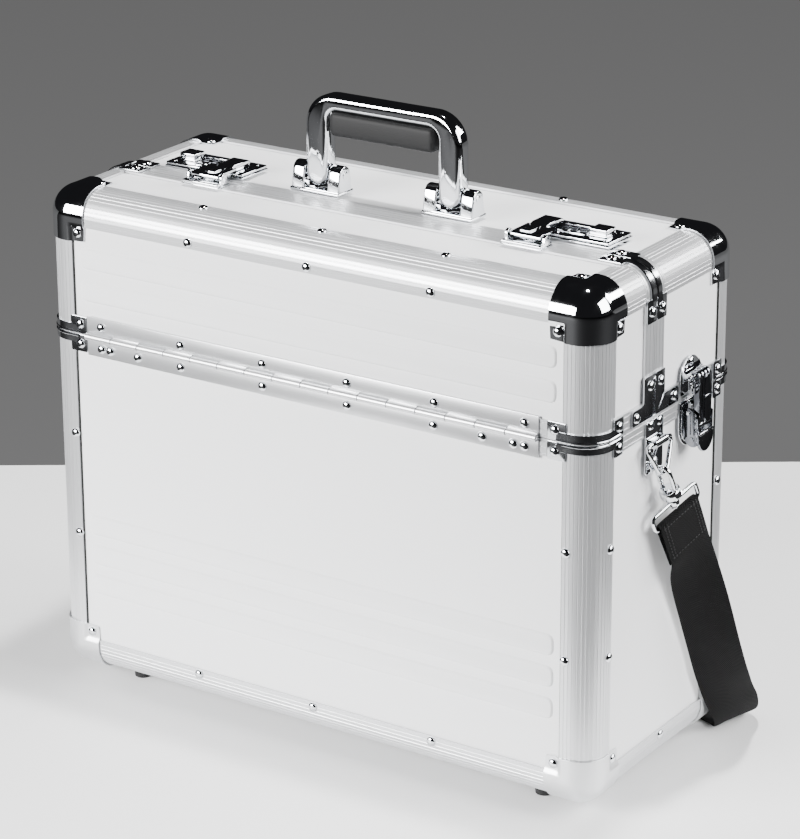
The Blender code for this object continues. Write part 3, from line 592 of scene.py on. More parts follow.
def node_tree(name, inputs):
    """A geometry tree with its group inputs. Gives the tree, the input node and the output node."""
    tree = bpy.data.node_groups.new(name, "GeometryNodeTree")
    tree.interface.new_socket("Geometry", in_out="INPUT", socket_type="NodeSocketGeometry")
    for label, kind, value in inputs:
        socket = tree.interface.new_socket(label, in_out="INPUT", socket_type=kind)
        if value is not None:
            socket.default_value = value
    tree.interface.new_socket("Geometry", in_out="OUTPUT", socket_type="NodeSocketGeometry")
    return tree, node(tree, "NodeGroupInput"), node(tree, "NodeGroupOutput")


def end_tree(tree, group_in, group_out, instances):
    """Realizes the instances and gives them the tree's material."""
    solid = node(tree, "GeometryNodeRealizeInstances", {"Geometry": instances}).outputs[0]
    painted = node(tree, "GeometryNodeSetMaterial",
                   {"Geometry": solid, "Material": group_in.outputs["Material"]}).outputs[0]
    tree.links.new(painted, group_out.inputs[0])


def rivet_tree():
    """Domed rivet heads on points, each turned to the point's facing attribute."""
    known = bpy.data.node_groups.get("domed_rivets")
    if known:
        return known
    tree, start, end = node_tree("domed_rivets", [
        ("Radius", "NodeSocketFloat", 3.7 * MM), ("Material", "NodeSocketMaterial", None)])
    head = node(tree, "GeometryNodeMeshUVSphere",
                {"Segments": 24, "Rings": 14, "Radius": start.outputs["Radius"]}).outputs[0]
    flat = node(tree, "GeometryNodeTransform", {"Geometry": head, "Scale": (1, 1, 0.62)}).outputs[0]
    round_head = node(tree, "GeometryNodeSetShadeSmooth", {"Geometry": flat}).outputs[0]
    facing = node(tree, "GeometryNodeInputNamedAttribute", {"Name": "facing"},
                  data_type="FLOAT_VECTOR").outputs["Attribute"]
    turn = node(tree, "FunctionNodeAlignRotationToVector", {"Vector": facing}, axis="Z").outputs[0]
    heads = node(tree, "GeometryNodeInstanceOnPoints",
                 {"Points": start.outputs["Geometry"], "Instance": round_head,
                  "Rotation": turn}).outputs[0]
    end_tree(tree, start, end, heads)
    return tree


def knuckle_tree():
    """Hinge knuckles in a row along X, every second place left free for the other leaf."""
    known = bpy.data.node_groups.get("hinge_knuckles")
    if known:
        return known
    tree, start, end = node_tree("hinge_knuckles", [
        ("Count", "NodeSocketInt", 8), ("Pitch", "NodeSocketFloat", 48.5 * MM),
        ("Length", "NodeSocketFloat", 23.6 * MM), ("Radius", "NodeSocketFloat", 2.6 * MM),
        ("Start", "NodeSocketVector", None), ("Material", "NodeSocketMaterial", None)])
    step = node(tree, "ShaderNodeCombineXYZ", {"X": start.outputs["Pitch"]}).outputs[0]
    row = node(tree, "GeometryNodeMeshLine", {"Count": start.outputs["Count"],
                                              "Start Location": start.outputs["Start"],
                                              "Offset": step}).outputs[0]
    barrel = node(tree, "GeometryNodeMeshCylinder",
                  {"Vertices": 28, "Radius": start.outputs["Radius"],
                   "Depth": start.outputs["Length"]}).outputs["Mesh"]
    laid = node(tree, "GeometryNodeTransform", {"Geometry": barrel,
                                                "Rotation": (0, pi / 2, 0)}).outputs[0]
    barrels = node(tree, "GeometryNodeInstanceOnPoints", {"Points": row, "Instance": laid}).outputs[0]
    end_tree(tree, start, end, barrels)
    return tree


def tooth_tree():
    """Knurl teeth round a number wheel that turns about X."""
    known = bpy.data.node_groups.get("wheel_knurl")
    if known:
        return known
    tree, start, end = node_tree("wheel_knurl", [
        ("Teeth", "NodeSocketInt", 20), ("Radius", "NodeSocketFloat", 6 * MM),
        ("Width", "NodeSocketFloat", 5.2 * MM), ("Centre", "NodeSocketVector", None),
        ("Material", "NodeSocketMaterial", None)])
    ring = node(tree, "GeometryNodeMeshCircle", {"Vertices": start.outputs["Teeth"],
                                                 "Radius": start.outputs["Radius"]}).outputs[0]
    outward = node(tree, "FunctionNodeAlignRotationToVector",
                   {"Vector": node(tree, "GeometryNodeInputPosition").outputs[0]}, axis="X").outputs[0]
    size = node(tree, "ShaderNodeCombineXYZ", {"X": 1.0 * MM, "Y": 0.9 * MM,
                                               "Z": start.outputs["Width"]}).outputs[0]
    tooth = node(tree, "GeometryNodeMeshCube", {"Size": size}).outputs["Mesh"]
    teeth = node(tree, "GeometryNodeInstanceOnPoints", {"Points": ring, "Instance": tooth,
                                                        "Rotation": outward}).outputs[0]
    placed = node(tree, "GeometryNodeTransform", {"Geometry": teeth, "Rotation": (0, pi / 2, 0),
                                                  "Translation": start.outputs["Centre"]}).outputs[0]
    end_tree(tree, start, end, placed)
    return tree


def stitch_tree():
    """Stitches a set length apart along the edges of a mesh."""
    known = bpy.data.node_groups.get("stitches")
    if known:
        return known
    tree, start, end = node_tree("stitches", [
        ("Spacing", "NodeSocketFloat", 2.6 * MM), ("Length", "NodeSocketFloat", 1.9 * MM),
        ("Thickness", "NodeSocketFloat", 0.35 * MM), ("Material", "NodeSocketMaterial", None)])
    line = node(tree, "GeometryNodeMeshToCurve", {"Mesh": start.outputs["Geometry"]}).outputs[0]
    evenly = node(tree, "GeometryNodeResampleCurve", {"Curve": line, "Length": start.outputs["Spacing"]},
                  mode="LENGTH").outputs[0]
    along = node(tree, "FunctionNodeAlignRotationToVector",
                 {"Vector": node(tree, "GeometryNodeInputTangent").outputs[0]}, axis="Z").outputs[0]
    half = node(tree, "ShaderNodeMath", {0: start.outputs["Length"], 1: 0.5},
                operation="MULTIPLY").outputs[0]
    thread = node(tree, "GeometryNodeMeshUVSphere", {"Segments": 8, "Rings": 6,
                                                     "Radius": 1.0}).outputs[0]
    stretch = node(tree, "ShaderNodeCombineXYZ", {"X": start.outputs["Thickness"],
                                                  "Y": start.outputs["Thickness"], "Z": half}).outputs[0]
    shaped = node(tree, "GeometryNodeTransform", {"Geometry": thread, "Scale": stretch}).outputs[0]
    row = node(tree, "GeometryNodeInstanceOnPoints", {"Points": evenly, "Instance": shaped,
                                                      "Rotation": along}).outputs[0]
    end_tree(tree, start, end, row)
    return tree


def grown(tree, values, base=None):
    """Runs a geometry tree with its inputs set, and gives the result as a bmesh."""
    host = base or bpy.data.objects.new("host", bpy.data.meshes.new("host"))
    if host.name not in bpy.context.scene.collection.objects:
        bpy.context.scene.collection.objects.link(host)
    step = host.modifiers.new("build", "NODES")
    step.node_group = tree
    for item in tree.interface.items_tree:
        if item.item_type == "SOCKET" and item.in_out == "INPUT" and item.name in values:
            step[item.identifier] = values[item.name]
    mesh = plain_mesh(host)
    bm = bmesh.new()
    bm.from_mesh(mesh)
    bpy.data.meshes.remove(mesh)
    bpy.data.objects.remove(host)
    return bm


# ---------------------------------------------------------------- profiles and panels

def edge_section():
    """Half-round edge profile with flutes. Points are distances inwards from the two outer faces."""
    pitch, depth = sizes().flute_pitch, sizes().flute_depth
    turn = EDGE_R * pi / 2
    straight = FLANGE - EDGE_R
    length = 2 * straight + turn

    def outer(s):
        if s < straight:
            return Vector((FLANGE - s, 0)), Vector((0, -1))
        if s > straight + turn:
            return Vector((0, EDGE_R + s - straight - turn)), Vector((-1, 0))
        a = (s - straight) / EDGE_R
        facing = Vector((-sin(a), -cos(a)))
        return Vector((EDGE_R, EDGE_R)) + facing * EDGE_R, facing

    flutes = int((length - 3 * MM) / pitch)
    first = (length - (flutes - 1) * pitch) / 2
    points = [outer(0)[0]]
    for i in range(flutes):
        for off, sunk in ((-0.45 * MM, 0), (-0.2 * MM, 1), (0.2 * MM, 1), (0.45 * MM, 0)):
            at, facing = outer(first + i * pitch + off)
            points.append(at - facing * depth * sunk)
    points.append(outer(length)[0])
    inner = []
    for i in range(13):
        at, facing = outer(length * (1 - i / 12))
        inner.append(at - facing * PROFILE_T)
    return [tuple(p) for p in points + inner]


def rim_section(width):
    """Flat rim profile with three flutes: across its width, and out of the face."""
    depth = sizes().flute_depth * 1.6
    points = [(0, 0)]
    for at in (0.16, 0.5, 0.84):
        middle = width * at
        points += [(middle - 0.5 * MM, 0), (middle - 0.25 * MM, -depth),
                   (middle + 0.25 * MM, -depth), (middle + 0.5 * MM, 0)]
    points.append((width, 0))
    return points + [(width, -PROFILE_T), (0, -PROFILE_T)]


def edge_bar(start, end, inward_a, inward_b):
    """An edge profile from start to end, both on the case's sharp corner line."""
    return sweep(edge_section(), [(start, inward_a, inward_b), (end, inward_a, inward_b)])


def rim_bar(start, end, across, out, width):
    """A flat rim profile from start to end, its width measured along the across direction."""
    return sweep(rim_section(width), [(start, across, out), (end, across, out)])


def seam_rim(sign):
    """The rim along the seam: up one short side, over the top and down the other."""
    y = SEAM_Y + sign * PART_GAP
    low = BELT + RIM
    stations = [((-HALF_L, y, low), (0, sign, 0), (-1, 0, 0))]
    for side in (-1, 1):
        centre = (side * (HALF_L - EDGE_R), TOP - EDGE_R)
        start, end = (180, 90) if side < 0 else (90, 0)
        for x, z in arc(centre, EDGE_R, start, end, 12):
            out = Vector((x - centre[0], 0, z - centre[1])).normalized()
            stations.append(((x, y, z), (0, sign, 0), out))
    stations.append(((HALF_L, y, low), (0, sign, 0), (1, 0, 0)))
    return sweep(rim_section(RIM - PART_GAP), stations)


def profiles(which):
    """All profiles of the body or of one wing."""
    bm = bmesh.new()
    on_body = which == "case"
    low, high = (BASE + CAP_END, BELT - PART_GAP) if on_body else (BELT + PART_GAP, TOP - CAP_END)
    level, up = (BASE, 1) if on_body else (TOP, -1)
    belt_at = BELT - up * PART_GAP
    ends = BODY_ENDS[which]
    x_bar, y_bar = HALF_L - CAP_END, HALF_W - CAP_END
    reach = HALF_L - FLANGE - 0.2 * MM
    for end in ends:
        y = end * HALF_W
        for side, _ in SIDES:
            x = side * HALF_L
            put(bm, edge_bar((x, y, low), (x, y, high), (-side, 0, 0), (0, -end, 0)))
        put(bm, edge_bar((-x_bar, y, level), (x_bar, y, level), (0, -end, 0), (0, 0, up)))
        put(bm, rim_bar((-reach, y, belt_at), (reach, y, belt_at), (0, 0, -up), (0, end, 0),
                        RIM - PART_GAP))
    for side, _ in SIDES:
        x = side * HALF_L
        if on_body:
            bar = (-y_bar, y_bar)
            rim = (-HALF_W + FLANGE, HALF_W - FLANGE)
        else:
            bar = (ends[0] * y_bar, SEAM_Y + ends[0] * (RIM + 0.3 * MM))
            rim = (ends[0] * (HALF_W - FLANGE), SEAM_Y + ends[0] * PART_GAP)
        put(bm, edge_bar((x, bar[0], level), (x, bar[1], level), (-side, 0, 0), (0, 0, up)))
        put(bm, rim_bar((x, rim[0], belt_at), (x, rim[1], belt_at), (0, 0, -up), (side, 0, 0),
                        RIM - PART_GAP))
    if not on_body:
        put(bm, seam_rim(ends[0]))
    return bm


def painted_shadow_strips(which):
    """The thin dark strips between the upright profiles and the panels: painted shadow for the gap under
    the profiles' edges.
    """
    bm = bmesh.new()
    z = (BASE + CAP_END, BELT - RIM) if which == "case" else (BELT + RIM, TOP - CAP_END)
    # Distances inwards from the outer faces: along the panel beside the profile, and into it
    wide, deep = (FLANGE, FLANGE + 0.8 * MM), (2.2 * MM, 0.7 * MM)
    for end in BODY_ENDS[which]:
        for side, _ in SIDES:
            for from_x, from_y in ((wide, deep), (deep, wide)):
                x = span(*(side * (HALF_L - a) for a in from_x))
                y = span(*(end * (HALF_W - a) for a in from_y))
                put(bm, box((x[0], y[0], z[0]), (x[1], y[1], z[1]), 0.15 * MM))
    return bm


def pressed_rib(y, outward, z, half_x):
    """A long rounded rib pressed out of a panel, with soft shoulders."""
    half_z, rise = sizes().rib_height / 2, sizes().rib_rise
    bm = bmesh.new()
    loops = []
    for inset, lift in ((0, -0.1 * MM), (0.5 * MM, 0.25 * rise), (1.1 * MM, 0.8 * rise),
                        (2.0 * MM, rise)):
        corners = [(half_x - inset, z + half_z - inset), (inset - half_x, z + half_z - inset),
                   (inset - half_x, z - half_z + inset), (half_x - inset, z - half_z + inset)]
        outline = rounded(corners, 6 * MM - inset, 6)
        loops.append([bm.verts.new((a, y + outward * lift, b)) for a, b in outline])
    for low, high in zip(loops, loops[1:]):
        for i in range(len(low)):
            j = (i + 1) % len(low)
            bm.faces.new((low[i], low[j], high[j], high[i]))
    bm.faces.new(loops[-1])
    bm.faces.new(loops[0][::-1])
    bmesh.ops.recalc_face_normals(bm, faces=bm.faces)
    return bm


# Middles of the ribs above the underside: three low on the body, two on each wing
BODY_RIBS = (72 * MM, 96 * MM, 120 * MM)
WING_RIBS = (305.5 * MM, 330.3 * MM)


# ---------------------------------------------------------------- corner caps

def corner_cap(side_x, side_y, up):
    """A pressed corner: full over the rounded edges, stepped down to a riveted tab on each face."""
    reach, tab, grid = 38 * MM, 36.5 * MM, 22
    over, under, wall = 1.55 * MM, CAP_SINK, 1.2 * MM
    corner = Vector((side_x * HALF_L, side_y * HALF_W, TOP if up else BASE))
    inward = (Vector((-side_x, 0, 0)), Vector((0, -side_y, 0)), Vector((0, 0, -1 if up else 1)))
    bm = bmesh.new()
    for third in range(3):
        one, two = [i for i in range(3) if i != third]
        rows = []
        for i in range(grid + 1):
            row = []
            for j in range(grid + 1):
                s, t = i / grid, j / grid
                pull = 1 - (1 - tab / reach) * (s * t) ** 3 - 0.03 * (s ** 8 * (1 - t) + t ** 8 * (1 - s))
                at = [0.0, 0.0, 0.0]
                at[one], at[two] = s * reach * pull, t * reach * pull
                inside = Vector([max(v, EDGE_R) for v in at])
                facing = (Vector(at) - inside).normalized()
                place = inside + facing * EDGE_R
                # The tab lies on the panel, inside both profiles
                depth = min(at[one], at[two]) - FLANGE
                step = min(max(depth / (1.6 * MM) + 0.5, 0), 1)
                step = step * step * (3 - 2 * step)
                place += facing * (over + (under - over) * step)
                row.append(bm.verts.new(corner + sum((inward[k] * place[k] for k in range(3)), Vector())))
            rows.append(row)
        for i in range(grid):
            for j in range(grid):
                bm.faces.new((rows[i][j], rows[i + 1][j], rows[i + 1][j + 1], rows[i][j + 1]))
    bmesh.ops.remove_doubles(bm, verts=bm.verts, dist=0.02 * MM)
    bmesh.ops.recalc_face_normals(bm, faces=bm.faces)
    centre = corner + sum((v * 60 * MM for v in inward), Vector())
    face = max(bm.faces, key=lambda f: f.calc_area())
    if (face.calc_center_median() - centre).dot(face.normal) < 0:
        bmesh.ops.reverse_faces(bm, faces=bm.faces)
    shell = as_object(bm, "cap")
    thick = shell.modifiers.new("wall", "SOLIDIFY")
    thick.thickness = wall
    thick.offset = -1
    mesh = plain_mesh(shell)
    bpy.data.objects.remove(shell)
    bm = bmesh.new()
    bm.from_mesh(mesh)
    bpy.data.meshes.remove(mesh)
    return bm


# ---------------------------------------------------------------- belt and seam brackets

def plate_outline(across, along, steps=5):
    """A small plate's outline between two pairs of limits, with round corners."""
    (a, b), (c, d) = across, along
    return rounded([(a, c), (b, c), (b, d), (a, d)], 1.6 * MM, steps)


def round_corner_path(side, end, z, x_from, y_to):
    """Stations round an upright edge at one height, from a front or rear face to a short side."""
    stations = [((side * x_from, end * HALF_W, z), (0, 0, 1), (0, end, 0))]
    centre = Vector((side * (HALF_L - EDGE_R), end * (HALF_W - EDGE_R), z))
    for i in range(13):
        a = pi / 2 * i / 12
        out = Vector((side * sin(a), end * cos(a), 0))
        stations.append((centre + out * EDGE_R, (0, 0, 1), out))
    stations.append(((side * HALF_L, end * y_to, z), (0, 0, 1), (side, 0, 0)))
    return stations


def belt_bracket(side, end, away):
    """Half of a belt corner bracket: a band round the edge with a tab on each face and a rolled lip."""
    z = BELT + away * 0.5 * MM
    a, b = span(0, away * 6.6 * MM)
    band = [(a, SIT), (b, SIT), (b, SIT + PLATE_T * 0.7), (b - 0.3 * MM, SIT + PLATE_T),
            (a + 0.3 * MM, SIT + PLATE_T), (a, SIT + PLATE_T * 0.7)]
    path = round_corner_path(side, end, z, 205 * MM, 68 * MM)
    bm = sweep(band, path)
    # Rolled lip along the parting line
    lip = [(away * 1.0 * MM + a, SIT + PLATE_T * 0.8 + b) for a, b in circle(0.85 * MM, 10)]
    put(bm, sweep(lip, path))
    height = span(z, z + away * 13.2 * MM)
    tab = plate_outline(span(side * 197.5 * MM, side * 212.5 * MM), height)
    put(bm, slab(tab, *span(end * (HALF_W + SIT), end * (HALF_W + SIT + FOLD_T)), "Y"))
    tab = plate_outline(span(end * 63.5 * MM, end * 75.5 * MM), height)
    put(bm, slab(tab, *span(side * (HALF_L + SIT), side * (HALF_L + SIT + PLATE_T)), "X"))
    return bm


# Outlines of the seam plates on a short side: distance from the seam, height above the belt
SEAM_FOOT_FRONT = [(0.3, 0.6), (0.3, 31.5), (15.5, 31.5), (15.5, 13.2), (18.0, 11.9), (30.0, 11.9),
                   (31.5, 9.5), (31.5, 0.6)]
SEAM_FOOT_REAR = [(0.3, 0.6), (0.3, 31.5), (13.0, 31.5), (13.0, 13.7), (32.5, 12.6), (32.5, 0.6)]
SEAM_FOOT_LAP = [(2.2, 0.9), (13.0, 13.4), (32.1, 12.3), (32.1, 0.9)]


def seam_plates(sign, side):
    """The plates of one wing on one short side: foot of the seam, clamps and the bent strip."""
    bm = bmesh.new()
    x = span(side * (HALF_L + SIT), side * (HALF_L + SIT + PLATE_T))
    shape = SEAM_FOOT_FRONT if sign < 0 else SEAM_FOOT_REAR
    outline = [(SEAM_Y + sign * a * MM, BELT + b * MM) for a, b in shape]
    put(bm, slab(rounded(outline, 1.0 * MM, 3), *x, "X"))
    if sign > 0:
        # The arm laps over the upright in a slanted fold
        lap = [(SEAM_Y + a * MM, BELT + b * MM) for a, b in SEAM_FOOT_LAP]
        put(bm, slab(lap, *span(x[0], side * (HALF_L + SIT + PLATE_T + 0.45 * MM)), "X"))
    y = span(SEAM_Y + sign * 0.3 * MM, SEAM_Y + sign * 13.3 * MM)
    put(bm, slab(plate_outline(y, (BASE + 341 * MM, BASE + 358 * MM), 3), *x, "X"))
    over = span(side * 196 * MM, side * 216 * MM)
    put(bm, slab(plate_outline(over, y, 3), TOP + SIT, TOP + SIT + PLATE_T, "Z"))
    # Two raised beads on the strip that follows the round edge between the clamps
    a, b = span(sign * 0.4 * MM, sign * 7.2 * MM)
    section = [(a, SIT), (b, SIT), (b, SIT + 0.8 * MM), (b - 0.8 * MM, SIT + PLATE_T + 0.3 * MM),
               (a + 0.8 * MM, SIT + PLATE_T + 0.3 * MM), (a, SIT + 0.8 * MM)]
    centre = (HALF_L - EDGE_R, TOP - EDGE_R)
    stations = [((side * 214 * MM, SEAM_Y, TOP), (0, 1, 0), (0, 0, 1))]
    for px, pz in arc(centre, EDGE_R, 90, 0, 14):
        out = Vector((side * (px - centre[0]), 0, pz - centre[1])).normalized()
        stations.append(((side * px, SEAM_Y, pz), (0, 1, 0), out))
    stations.append(((side * HALF_L, SEAM_Y, BASE + 356 * MM), (0, 1, 0), (side, 0, 0)))
    put(bm, sweep(section, stations))
    return bm


# ---------------------------------------------------------------- rivets

UPPER_HINGE_RIVETS = [(-184 + 72.8 * i) * MM for i in range(6)]
LOWER_HINGE_RIVETS = [x * MM for x in (-184, -176, -150.4, -111.2, -38.4, 34.4, 106.5, 146.2, 171.1, 180)]


def rivet_places():
    """Every rivet as (body, point, facing)."""
    made = []

    def add(body, x, y, z, out, level=0.0):
        facing = Vector(out)
        made.append((body, Vector((x, y, z)) + facing * level, facing))

    plate = SIT + PLATE_T
    for end, _ in ENDS:
        wing = "front_wing" if end < 0 else "rear_wing"
        y = end * HALF_W
        for x in UPPER_HINGE_RIVETS:
            add(wing, x, y, BASE + 280.2 * MM, (0, end, 0), LEAF_T)
        for x in LOWER_HINGE_RIVETS:
            add("case", x, y, BASE + 263.5 * MM, (0, end, 0), LEAF_T)
        for x in (-103 * MM, 0.5 * MM, 103.5 * MM):
            add("case", x, y, BASE + 21.6 * MM, (0, end, 0))
            if end < 0:
                add(wing, x, y, BASE + 359 * MM, (0, end, 0))
            add(wing, x, end * 78 * MM, TOP, (0, 0, 1))
        for side, _ in SIDES:
            x = side * HALF_L
            for z in (192 * MM, 111.6 * MM):
                add("case", side * 212.5 * MM, y, BASE + z, (0, end, 0))
                add("case", x, end * 76 * MM, BASE + z, (side, 0, 0))
            # Corner caps
            add(wing, side * 204.4 * MM, y, BASE + 349.4 * MM, (0, end, 0), CAP_SINK)
            add(wing, x, end * 67.6 * MM, BASE + 349.2 * MM, (side, 0, 0), CAP_SINK)
            add(wing, side * 204.6 * MM, end * 67.6 * MM, TOP, (0, 0, 1), CAP_SINK)
            add("case", side * 204.5 * MM, y, BASE + 31.5 * MM, (0, end, 0), CAP_SINK)
            add("case", x, end * 67.6 * MM, BASE + 31 * MM, (side, 0, 0), CAP_SINK)
            # Belt brackets
            add(wing, side * 203.5 * MM, y, BASE + 280 * MM, (0, end, 0), plate - 0.7 * MM)
            add(wing, x, end * 69.5 * MM, BASE + 279.5 * MM, (side, 0, 0), plate)
            add("case", side * 203.5 * MM, y, BASE + 264.5 * MM, (0, end, 0), plate - 0.7 * MM)
            add("case", x, end * 69.5 * MM, BASE + 264.5 * MM, (side, 0, 0), plate)
    for side, _ in SIDES:
        x = side * HALF_L
        add("case", x, 0, BASE + 21.9 * MM, (side, 0, 0))
        for sign, wing in ((-1, "front_wing"), (1, "rear_wing")):
            add(wing, x, SEAM_Y + sign * 7 * MM, BASE + 296 * MM, (side, 0, 0), plate)
            add(wing, x, SEAM_Y + sign * 26 * MM, BASE + (278 if sign < 0 else 279) * MM,
                (side, 0, 0), plate if sign < 0 else plate + 0.4 * MM)
            add(wing, x, SEAM_Y + sign * 7 * MM, BASE + 349 * MM, (side, 0, 0), plate + 0.3 * MM)
            add(wing, side * 204 * MM, SEAM_Y + sign * 7 * MM, TOP, (0, 0, 1), plate)
        # Strap anchor and latch strike
        for y, z in ((-25.6, 266.8), (-13.6, 266.8), (-19.6, 238.5)):
            add("case", x, y * MM, BASE + z * MM, (side, 0, 0), LEAF_T)
        add("rear_wing", x, 30 * MM, BASE + 297 * MM, (side, 0, 0), LEAF_T)
    return made


def rivets(body):
    """All rivets of one body, grown on points by the rivet tree."""
    places = [(at, facing) for owner, at, facing in rivet_places() if owner == body]
    mesh = bpy.data.meshes.new("rivet_points")
    mesh.from_pydata([at for at, _ in places], [], [])
    facing = mesh.attributes.new("facing", "FLOAT_VECTOR", "POINT")
    facing.data.foreach_set("vector", [v for _, way in places for v in way])
    host = bpy.data.objects.new("rivet_points", mesh)
    return grown(rivet_tree(), {"Radius": sizes().rivet_radius, "Material": mirror_chrome_plate()}, host)


# ---------------------------------------------------------------- hinges

def hinge_leaf(end, on_body):
    """A leaf with every second knuckle, and on the body the pin."""
    low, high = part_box(f"{'front' if end < 0 else 'rear'}_hinge_{'body' if on_body else 'wing'}_leaf")
    pin = PIVOT["front_wing_hinge" if end < 0 else "rear_wing_hinge"]
    face = end * (HALF_W + 0.05 * MM)
    y = span(face, face + end * LEAF_T)
    way = -1 if on_body else 1
    far = low[2] if on_body else high[2]
    z = span(pin.z + way * 2.0 * MM, far)
    bm = box((low[0], y[0], z[0]), (high[0], y[1], z[1]), 0.35 * MM)
    # Sixteen knuckles in a row, eight on each leaf
    pitch = (high[0] - low[0]) / 16
    start = low[0] + pitch * (0.5 if on_body else 1.5)
    barrels = grown(knuckle_tree(), {
        "Count": 8, "Pitch": 2 * pitch, "Length": pitch - 0.9 * MM, "Radius": 2.6 * MM,
        "Start": (start, pin.y, pin.z), "Material": satin_nickel_plate()})
    put(bm, barrels)
    # Webs that roll each knuckle into the leaf
    for i in range(8):
        x = start + 2 * pitch * i
        near = span(pin.z, pin.z + way * 3.2 * MM)
        depth = span(face + end * 0.2 * MM, face + end * 2.2 * MM)
        put(bm, box((x - pitch / 2 + 0.3 * MM, depth[0], near[0]),
                    (x + pitch / 2 - 0.3 * MM, depth[1], near[1]), 0.3 * MM))
    if on_body:
        put(bm, rod((low[0] - 0.4 * MM, pin.y, pin.z), (high[0] + 0.4 * MM, pin.y, pin.z),
                    1.2 * MM, 0.3 * MM))
    return bm


# ---------------------------------------------------------------- handle

def handle_bow():
    """The chromed bow: broad legs, round shoulders and a thinner bar."""
    low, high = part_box("handle_bow")
    pivot = PIVOT["handle_fold"]
    leg = 19 * MM
    x = high[0] - leg / 2
    shoulder = 24 * MM
    outline = arc((x, pivot.z), leg / 2, -180, 0, 14)
    outline += arc((high[0] - shoulder, high[2] - shoulder), shoulder, 0, 90, 14)
    outline += arc((shoulder - high[0], high[2] - shoulder), shoulder, 90, 180, 14)
    outline += arc((-x, pivot.z), leg / 2, -180, 0, 14)
    inner, under, soft = high[0] - leg, high[2] - 12 * MM, 9 * MM
    outline += arc((soft - inner, under - soft), soft, 180, 90, 8)
    outline += arc((inner - soft, under - soft), soft, 90, 0, 8)
    return slab(outline, low[1], high[1], "Y", 4.2 * MM, 6)


def handle_grip():
    """The soft insert: square against the bar, with very shallow finger channels below."""
    low, high = (Vector(v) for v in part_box("handle_grip"))
    middle, half = (low + high) / 2, (high - low) / 2
    count, sides = 48, 28
    # A superellipse of the fifth power, close to a square with round corners
    power = 2 / 5
    bm = bmesh.new()
    rings = []
    for i in range(count + 1):
        t = -1 + 2 * i / count
        shrink = 0.86 + 0.14 * max(0.0, 1 - abs(t) ** 40) ** 0.5
        channel = 1 - 0.02 * (0.5 + 0.5 * cos(6 * pi * t))
        ring = []
        for k in range(sides):
            a = 2 * pi * k / sides
            y = half.y * shrink * copysign(abs(cos(a)) ** power, cos(a))
            z = half.z * shrink * copysign(abs(sin(a)) ** power, sin(a))
            if z < 0:
                z *= channel
            ring.append(bm.verts.new((middle.x + half.x * t, middle.y + y, middle.z + z)))
        rings.append(ring)
    for a, b in zip(rings, rings[1:]):
        for k in range(sides):
            n = (k + 1) % sides
            bm.faces.new((a[k], a[n], b[n], b[k]))
    bm.faces.new(rings[0][::-1])
    bm.faces.new(rings[-1])
    bmesh.ops.recalc_face_normals(bm, faces=bm.faces)
    return bm


def handle_base(side):
    """A base on the wing: foot plate, two cheeks with round tops, and the pin's domed ends."""
    low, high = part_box("handle_base_right")
    pivot = PIVOT["handle_fold"]
    x, half = (low[0] + high[0]) / 2, (high[0] - low[0]) / 2
    bm = step_plate(low, high, 0, TOP + 0.1 * MM, TOP + 2.4 * MM, 0.8 * MM, 3)
    put(bm, step_plate(low, high, 1 * MM, TOP + 2 * MM, TOP + 3.2 * MM, 0.6 * MM))
    shape = [(low[1] + 0.8 * MM, TOP + 1 * MM), (high[1] - 0.8 * MM, TOP + 1 * MM)]
    shape += arc((pivot.y, pivot.z), 6.8 * MM, 8, 172, 16)
    for way in (-1, 1):
        cheek = span(x + way * 10.4 * MM, x + way * (half - 0.6 * MM))
        put(bm, slab(shape, *cheek, "X", 1.3 * MM, 4))
        cap = x + way * half
        put(bm, rod((cap - way * 2 * MM, pivot.y, pivot.z), (cap - way * 0.1 * MM, pivot.y, pivot.z),
                    3.0 * MM, 0.7 * MM))
    put(bm, rod((low[0] + 3 * MM, pivot.y, pivot.z), (high[0] - 3 * MM, pivot.y, pivot.z), 2.2 * MM))
    return mirrored(bm, side)


# ---------------------------------------------------------------- locks

def lock_plate(side):
    """The lock's stepped plate with the wheels' windows, and the housing under it."""
    low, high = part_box("lock_body_right")
    seat = TOP + SIT
    bm = step_plate(low, high, 0, seat, seat + 1.5 * MM, 0.45 * MM, 3)
    put(bm, step_plate(low, high, 1.2 * MM, seat + 1 * MM, seat + 2.2 * MM, 0))
    put(bm, step_plate(low, high, 0.5 * MM, seat + 1.9 * MM, seat + 4.2 * MM, 0.9 * MM, 4))
    dials = [PIVOT[f"dial_right_{i}_spin"] for i in (1, 2, 3)]
    bm = cut_with(bm, wheel_windows(dials, seat - 1 * MM, seat + 9 * MM))
    # Low frame round the wheels, and their axle
    x0, x1, y = dials[0].x - 4.6 * MM, dials[-1].x + 4.6 * MM, dials[0].y
    for way in (-1, 1):
        band = span(y + way * 7.6 * MM, y + way * 9.6 * MM)
        put(bm, box((x0, band[0], seat + 3.6 * MM), (x1, band[1], seat + 5.0 * MM), 0.4 * MM))
    put(bm, rod((x0 - 1 * MM, y, dials[0].z), (x1 + 1 * MM, y, dials[0].z), 1.9 * MM))
    for x in (low[0] + 6 * MM, high[0] - 6 * MM):
        for at in (low[1] + 5.5 * MM, high[1] - 5.5 * MM):
            put(bm, rod((x, at, seat + 3.8 * MM), (x, at, seat + 4.7 * MM), 1.5 * MM, 0.4 * MM, 20))
    housing = box((low[0] + 6.5 * MM, low[1] + 3.5 * MM, low[2]),
                  (high[0] - 1.5 * MM, high[1] - 3.5 * MM, TOP - 2 * MM), 0.5 * MM)
    put(bm, cut_with(housing, wheel_windows(dials, dials[0].z - 9 * MM, dials[0].z + 9 * MM)))
    return mirrored(bm, side)


